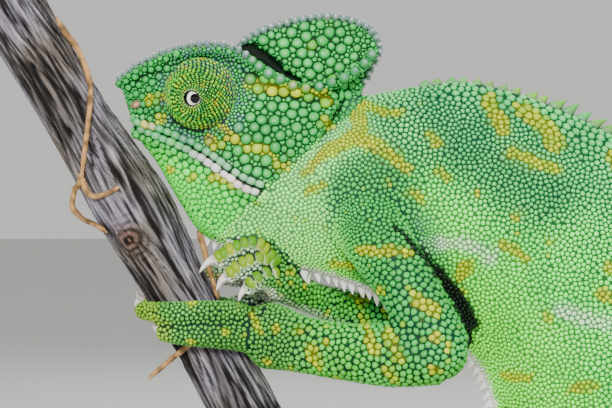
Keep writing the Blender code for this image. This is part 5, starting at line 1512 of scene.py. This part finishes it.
class OBJECT_OT_chameleon_eyes(bpy.types.Operator):
    """Builds both eye turrets with their rings of granules, and the eyeballs in their small openings"""
    bl_idname = "object.chameleon_eyes"
    bl_label = "Eyes"

    def execute(self, context):
        for sign, side in ((1, "left"), (-1, "right")):
            seat = Vector((EYE_SEAT[0], EYE_SEAT[1] * sign, EYE_SEAT[2]))
            look = Vector((EYE_LOOK[0], EYE_LOOK[1] * sign, EYE_LOOK[2])).normalized()
            turn = look.to_track_quat("Z", "Y").to_matrix()
            self.turret(side, seat, turn)
            self.granules(side, seat, turn)
            self.eyeball(side, seat, turn)
        return {"FINISHED"}

    @staticmethod
    def stretch(turn, x, y):
        """How much wider the opening of the lids is towards (x, y): it is drawn out to two corners."""
        corner = unit(np.array(turn.transposed() @ Vector(LID_CORNER))[:2])
        toward = (x * corner[0] + y * corner[1]) / np.hypot(x, y)
        return 1 + 0.34 * np.clip(toward, 0, None) ** 14 + 0.14 * np.clip(-toward, 0, None) ** 18

    def turret(self, side, seat, turn):
        """The cone of fused lids with a rolled rim round the opening."""
        profile = through(TURRET, 26, lead=2)[:-2]
        profile[:, 0] -= 0.12
        bm = spun([*profile.tolist(), *RIM], 72)
        bmesh.ops.recalc_face_normals(bm, faces=bm.faces)
        bmesh.ops.solidify(bm, geom=bm.faces, thickness=0.35)
        bmesh.ops.recalc_face_normals(bm, faces=bm.faces)
        tint = []
        for vert in bm.verts:
            wide, high = math.hypot(vert.co.x, vert.co.y), vert.co.z
            tone = TONES["lid" if high < LID_TOP else "lid top"]
            if wide < RIM_OUTSIDE and high > RIM_FOOT:
                tone = (0.01, 0.01, 0.01) if wide < RIM_INSIDE else TONES["lid rim"]
                vert.co.xy *= float(self.stretch(turn, vert.co.x, vert.co.y))
            tint.append(tone)
        bmesh.ops.transform(bm, matrix=Matrix.Translation(seat) @ turn.to_4x4(), verts=bm.verts)
        piece = finished(f"{side}_turret", bm, tint, finish("Skin"))
        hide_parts(f"{side}_eye_turret")

    def granules(self, side, seat, turn):
        """Rings of small oval scales round the turret, green with orange-yellow dots and lilac lines."""
        rng = np.random.default_rng(SEED + (5 if side == "left" else 6))
        profile = through(TURRET, 200, lead=2)
        walked = walked_along(profile)
        rows = []
        at, ring = 0.8, 0
        while at < walked[-1] - 0.1:
            share = at / walked[-1]
            i = int(np.searchsorted(walked, at))
            radius, height = profile[i]
            slope = unit(profile[min(i + 2, 199)] - profile[i - 2])
            step = float(0.42 - 0.10 * smooth_step(0.75, 1.0, share))
            length = float(0.78 - 0.34 * smooth_step(0.7, 1.0, share))
            number = max(9, int(2 * math.pi * radius / length))
            for k in range(number):
                angle = 2 * math.pi * (k + 0.5 * (ring % 2) + rng.uniform(-0.10, 0.10)) / number
                c, s = math.cos(angle), math.sin(angle)
                near = radius + rng.uniform(-0.04, 0.04)
                rows.append((near * c, near * s, height, slope[1] * c, slope[1] * s, -slope[0], -s, c, 0.0,
                             math.pi * radius / number * rng.uniform(0.94, 1.04), step * 0.46, share, ring,
                             0.5 + 0.46 * (1 - share) * c, 0.5 + 0.46 * (1 - share) * s))
            at += step
            ring += 1
        rows = np.array(rows)
        wide = np.hypot(rows[:, 0], rows[:, 1])
        rows = rows[(wide > OPENING_RADIUS * self.stretch(turn, rows[:, 0], rows[:, 1])) | (rows[:, 2] < 6.0)]
        rotate, count = np.array(turn).T, len(rows)
        world = rows[:, :3] @ rotate + np.array(seat)
        out, ways = unit(rows[:, 3:6]) @ rotate, rows[:, 6:9] @ rotate
        share, even = rows[:, 11], rows[:, 12] % 2 == 0
        reach = oval(rows[:, 9], rows[:, 10], turns(GRANULE_SIDES)) * 0.98
        patch = cloud(world, 2.4, 9.0)
        bright = np.clip(rng.random(count) * 1.2 + 0.25 * patch, 0, 1)
        green = mixed(TONES["granule"], TONES["granule bright"], bright)
        green = mixed(green, TONES["granule pale"], (rng.random(count) < 0.08) * 0.6)
        outer = smooth_step(0.62, 0.42, share) * even
        main = mixed(green, TONES["granule lilac"], outer * 0.75)
        dots = rng.random(count) < np.clip(0.06 + 0.50 * patch, 0.02, 0.60)
        main = mixed(main, TONES["granule dot"], dots * (0.9 - 0.5 * outer))
        main = mixed(main, TONES["granule rim"], smooth_step(0.94, 0.99, share) * 0.5)
        main = np.clip(main * np.where(even, 0.88, 1.06)[:, None] * rng.uniform(0.90, 1.10, (count, 1)), 0, 1)
        # A slightly paler middle on each granule: partly its own tone, partly a painted highlight
        centre = mixed(main, TONES["granule middle"], 0.18)
        dark = mixed(main * 0.30, TONES["granule seam"], 0.55)
        coat(f"coat_{side}_eye", GRANULE, GRANULE_SIDES, world - out * 0.16, (ways, np.cross(out, ways), out), reach,
             np.full(count, 0.30), (main, centre, dark), rows[:, 13:15])

    @staticmethod
    def eyeball(side, seat, turn):
        """A glossy ball with a black pupil inside a thin pale ring."""
        bm = bmesh.new()
        bmesh.ops.create_uvsphere(bm, u_segments=64, v_segments=90, radius=EYEBALL_RADIUS)
        tint = []
        for vert in bm.verts:
            aside = math.degrees(math.atan2(math.hypot(vert.co.x, vert.co.y), vert.co.z))
            tone = "pupil" if aside < PUPIL_DEGREES else "iris" if aside < IRIS_DEGREES else "eyeball"
            tint.append(TONES[tone])
        gaze = (turn @ Vector((0, 0, 1)) + Vector(GAZE)).normalized()
        place = Matrix.Translation(seat + turn @ Vector((0, 0, EYEBALL_HEIGHT)))
        place = place @ gaze.to_track_quat("Z", "Y").to_matrix().to_4x4()
        bmesh.ops.transform(bm, matrix=place, verts=bm.verts)
        piece = finished(f"{side}_eye", bm, tint, finish("Eye"))
        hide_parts(f"{side}_eyeball")


class OBJECT_OT_chameleon_claws(bpy.types.Operator):
    """Builds the curved claws, five on each hand and foot"""
    bl_idname = "object.chameleon_claws"
    bl_label = "Claws"

    def execute(self, context):
        whole = bmesh.new()
        for limb in LIMBS.values():
            for base, tip, bulge in claw_ends(limb):
                length = np.linalg.norm(tip - base)
                way = unit(tip - base)
                start = base - way * CLAW_ROOT
                shares = np.linspace(0.0, 1.0, 12)
                line = (start + np.outer(shares, tip - start)
                        + np.outer(np.sin(shares * math.pi) * length * 0.16, square_to(way, bulge)))
                size = 0.86 * (1 - shares**1.3) + 0.14
                size[0], size[-1] = 0.7, 0.09
                form = oval_tube(np.column_stack([line, size, size * 0.82]), 12)
                layer = form.verts.layers.float.new("share")
                for vert in form.verts:
                    vert[layer] = float(np.clip((np.array(vert.co) - start) @ way / (length + CLAW_ROOT), 0, 1))
                gather(whole, form)
        layer = whole.verts.layers.float["share"]
        share = np.array([vert[layer] for vert in whole.verts])
        tint = mixed(TONES["claw root"], TONES["claw"], smooth_step(0.15, 0.5, share))
        finished("claws", whole, mixed(tint, TONES["claw tip"], smooth_step(0.8, 1.0, share)), finish("Claw"))
        return {"FINISHED"}


class OBJECT_OT_chameleon_perch(bpy.types.Operator):
    """Builds the weathered branch with its furrowed bark and the dry tendrils that lie on it"""
    bl_idname = "object.chameleon_perch"
    bl_label = "Branch and Tendrils"

    def execute(self, context):
        settings = context.scene.chameleon_perch
        rows = through(BRANCH, 340, lead=2)
        points = np.column_stack([rows[:, 0], np.zeros(len(rows)), rows[:, 1]])
        side, up = path_frames(points)
        walked = walked_along(points)
        angle = circle(170)
        rings, levels = [], []
        depth = settings.fibre_depth / MM
        for k in range(len(rows)):
            share = k / len(rows)
            flute = 0.16 * np.sin(3 * angle + 2.2 * share) + 0.12 * np.sin(7 * angle + 5.0 * share)
            level = np.array([self.furrow(walked[k], a) for a in angle])
            size = rows[k, 2] - 0.2 + flute + 0.10 * math.sin(9.0 * share * math.pi) - depth * (1 - level)
            ring = ring_round(points[k], up[k], side[k], size, size)
            from_knot = np.linalg.norm(ring - KNOT, axis=1)
            swirl = np.exp(-((from_knot / KNOT_WIDTH) ** 2))
            level = level * (1 - swirl) + swirl * (0.45 + 0.35 * np.sin(from_knot * 5.2 + 1.5 * np.sin(angle * 9)))
            rings.append(ring)
            levels.append(level)
        form = rolled(rings)
        flat = np.array(rings).reshape(-1, 3)
        home = tree_of(flat)
        found = [home.find(vert.co)[1] for vert in form.verts]
        level, places = np.array(levels).ravel()[found], flat[found]
        tone = mixed(settings.bark_dark, settings.bark_pale, smooth_step(0.10, 1.0, level))
        patch = cloud(places, 9.0, 3.0)
        tone = mixed(tone, tone * (0.74, 0.68, 0.62), np.clip(patch * 1.1, 0, 0.7))
        tone = mixed(tone, tone * (1.06, 1.04, 1.18), np.clip(0.2 - patch, 0, 0.8))
        from_knot = np.linalg.norm(places - KNOT, axis=1)
        tone = mixed(tone, tone * (1.05, 0.82, 0.62), np.exp(-((from_knot / 2.6) ** 2)))
        tone[np.isin(np.array(found) // len(angle), (0, len(rings) - 1))] = TONES["sawn end"]
        way = (BRANCH[-1][0] - BRANCH[0][0], 0.0, BRANCH[-1][1] - BRANCH[0][1])
        bark = fibrous("Bark", 0.84, way, 900.0, 3200.0, 0.50)
        branch = finished("branch", form, np.clip(tone, 0, 1), bark)
        polygons = branch.data.polygons
        polygons.foreach_set("use_smooth", [len(face.vertices) < 5 for face in polygons])
        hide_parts("perch")
        self.tendrils(settings)
        return {"FINISHED"}

    @staticmethod
    def furrow(along, angle):
        """Height of the bark, 0 in a furrow and 1 on a ridge: long fibres that wander round the branch."""
        wander = 0.35 * noise.noise((along / 26.0, math.cos(angle), math.sin(angle)))
        c, s = math.cos(angle + wander), math.sin(angle + wander)
        broad = noise.noise((along / 30.0, c * 2.6, s * 2.6))
        fibre = noise.noise((along / 12.0 + 7.0, c * 8.0, s * 8.0))
        fine = noise.noise((along / 4.0 + 19.0, c * 20.0, s * 20.0))
        crack = 1 - abs(noise.noise((along / 18.0 + 40.0, c * 5.0, s * 5.0))) * 7.0
        level = 0.64 + 0.55 * broad + 0.60 * fibre + 0.60 * fine - 0.75 * max(crack, 0.0) ** 2
        return min(max(level, 0.0), 1.0)

    @staticmethod
    def on_bark(x, z, sunk=0.25):
        """A tendril's middle on the near face of the branch, or beside it where it runs wide."""
        middle, _, toward, radius = branch_frame(x, z)
        aside = float(np.dot(np.array([x, z]) - middle, toward))
        return (x, -math.sqrt(max((radius + TENDRIL_RADIUS - sunk) ** 2 - aside**2, 0.0)), z)

    def tendrils(self, settings):
        """Dry climbing stems: round, a little knotted, and thinner at their ends."""
        whole = bmesh.new()
        for line in TENDRILS:
            path = through([self.on_bark(x, z) for x, z in line], 16 * len(line))
            side, up = path_frames(path)
            angle = circle(14)
            rings = []
            for k, (place, s, u) in enumerate(zip(path, side, up)):
                share = k / (len(path) - 1)
                size = TENDRIL_RADIUS * (1.0 - 0.25 * share + 0.12 * noise.noise(place / 1.7))
                size *= min(1.0, 0.45 + 8 * share, 0.35 + 8 * (1 - share))
                ridged = size * (1 + 0.05 * np.sin(5 * angle + share * 9))
                rings.append(ring_round(place, u, s, ridged, ridged))
            gather(whole, rolled(rings))
        places = np.array([vert.co[:] for vert in whole.verts])
        tan = np.array(settings.tendril_tan)
        tint = mixed(tan, tan * 0.55, np.clip(cloud(places, 1.6, 2.0) + 0.15, 0, 1))
        finished("tendrils", whole, tint, finish("Dry Stem"))


class OBJECT_OT_chameleon_stand(bpy.types.Operator):
    """Gives the stand its finishes: an oiled walnut base and brushed steel rods"""
    bl_idname = "object.chameleon_stand"
    bl_label = "Stand Finishes"

    def execute(self, context):
        wood, tree, principled = shader("Walnut", 0.42, 0.4)
        rings = noise_on(tree, 22.0, 6.0, stretch=(1.0, 9.0, 9.0))
        fibre = noise_on(tree, 260.0, 4.0, stretch=(1.0, 14.0, 14.0))
        rings = added(tree, "ShaderNodeMath", {0: rings, 1: 0.66}, operation="MULTIPLY").outputs[0]
        blend = added(tree, "ShaderNodeMath", {0: fibre, 1: 0.35, 2: rings}, operation="MULTIPLY_ADD").outputs[0]
        colour = ramped(tree, blend, (0.20, 0.12, 0.08), (0.45, 0.30, 0.20), 0.32, 0.68)
        tree.links.new(colour, principled.inputs["Base Color"])
        raised(tree, fibre, 0.25, 0.0002, principled)
        steel, tree, principled = shader("Brushed Steel", 0.32)
        principled.inputs["Metallic"].default_value = 1.0
        brush = noise_on(tree, 900.0, 3.0, stretch=(1.0, 1.0, 0.02))
        colour = ramped(tree, brush, (0.60, 0.60, 0.61), (0.80, 0.80, 0.80))
        tree.links.new(colour, principled.inputs["Base Color"])
        tree.links.new(spread(tree, brush, 0.24, 0.42), principled.inputs["Roughness"])
        for name, material in (("stand_base", wood), ("stand_rod_low", steel), ("stand_rod_high", steel)):
            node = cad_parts[name]
            node.data.materials.clear()
            node.data.materials.append(material)
        return {"FINISHED"}


class SCENE_OT_chameleon_stage(bpy.types.Operator):
    """Sets the plain pale floor, the soft lights and the camera at the photograph's viewing angle"""
    bl_idname = "scene.chameleon_stage"
    bl_label = "Stage"

    def execute(self, context):
        settings = context.scene.chameleon_stage
        bm = bmesh.new()
        bmesh.ops.create_circle(bm, cap_ends=True, segments=96, radius=settings.floor_radius)
        mesh = bpy.data.meshes.new("floor")
        bm.to_mesh(mesh)
        bm.free()
        floor = bpy.data.objects.new("floor", mesh)
        context.scene.collection.objects.link(floor)
        tone = (*linear(settings.floor_colour), 1)
        pale, _, principled = shader("Floor", 0.85, 0.2)
        principled.inputs["Base Color"].default_value = tone
        mesh.materials.append(pale)
        world = bpy.data.worlds.new("air")
        world.use_nodes = True
        air = world.node_tree.nodes["Background"]
        air.inputs["Color"].default_value = tone
        air.inputs["Strength"].default_value = 1.1
        context.scene.world = world
        self.light("key_light", (-0.22, -1.10, 0.55), 0.30, settings.key_power)
        self.light("fill_light", (0.55, -0.55, 1.25), 0.9, settings.fill_power)
        self.light("back_light", (0.25, 1.2, 0.9), 0.9, settings.fill_power * 0.8)
        data = bpy.data.cameras.new("photo_camera")
        data.sensor_width = SENSOR_WIDTH
        data.lens = SENSOR_WIDTH * VIEW_DISTANCE / VIEW_WIDTH
        data.clip_start, data.clip_end = 0.01, 50.0
        camera = bpy.data.objects.new("photo_camera", data)
        camera.location = CAMERA_PLACE
        camera.rotation_euler = (math.radians(90), 0, 0)
        context.scene.collection.objects.link(camera)
        context.scene.camera = camera
        return {"FINISHED"}

    @staticmethod
    def light(name, place, size, power):
        """A square soft light that faces the middle of the model."""
        data = bpy.data.lights.new(name, "AREA")
        data.size = size
        data.energy = power
        lamp = bpy.data.objects.new(name, data)
        lamp.location = place
        lamp.rotation_euler = (Vector(MODEL_MIDDLE) - Vector(place)).to_track_quat("-Z", "Y").to_euler()
        bpy.context.scene.collection.objects.link(lamp)


class VIEW3D_PT_chameleon(bpy.types.Panel):
    """Lists the steps that dress the chameleon"""
    bl_idname = "VIEW3D_PT_chameleon"
    bl_label = "Indian Chameleon"
    bl_space_type = "VIEW_3D"
    bl_region_type = "UI"
    bl_category = "Chameleon"

    def draw(self, context):
        layout = self.layout
        for group in SETTINGS:
            box = layout.box()
            settings = getattr(context.scene, group)
            for name in settings.bl_rna.properties.keys():
                if name not in ("rna_type", "name"):
                    box.prop(settings, name)
        for operator in OPERATORS:
            layout.operator(operator.bl_idname)


OPERATORS = [OBJECT_OT_chameleon_skin, OBJECT_OT_chameleon_scales, OBJECT_OT_chameleon_eyes,
             OBJECT_OT_chameleon_claws, OBJECT_OT_chameleon_perch, OBJECT_OT_chameleon_stand,
             SCENE_OT_chameleon_stage]
SETTINGS = {"chameleon_scales": ChameleonScales, "chameleon_colours": ChameleonColours,
            "chameleon_perch": ChameleonPerch, "chameleon_stage": ChameleonStage}
CLASSES = [*SETTINGS.values(), *OPERATORS, VIEW3D_PT_chameleon]


def register():
    for each in CLASSES:
        bpy.utils.register_class(each)
    for name, settings in SETTINGS.items():
        setattr(bpy.types.Scene, name, bpy.props.PointerProperty(type=settings))


def unregister():
    for name in SETTINGS:
        delattr(bpy.types.Scene, name)
    for each in reversed(CLASSES):
        bpy.utils.unregister_class(each)


def main():
    register()
    bpy.ops.object.chameleon_skin()
    bpy.ops.object.chameleon_scales()
    bpy.ops.object.chameleon_eyes()
    bpy.ops.object.chameleon_claws()
    bpy.ops.object.chameleon_perch()
    bpy.ops.object.chameleon_stand()
    bpy.ops.scene.chameleon_stage()
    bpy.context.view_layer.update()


if __name__ == "__main__":
    main()
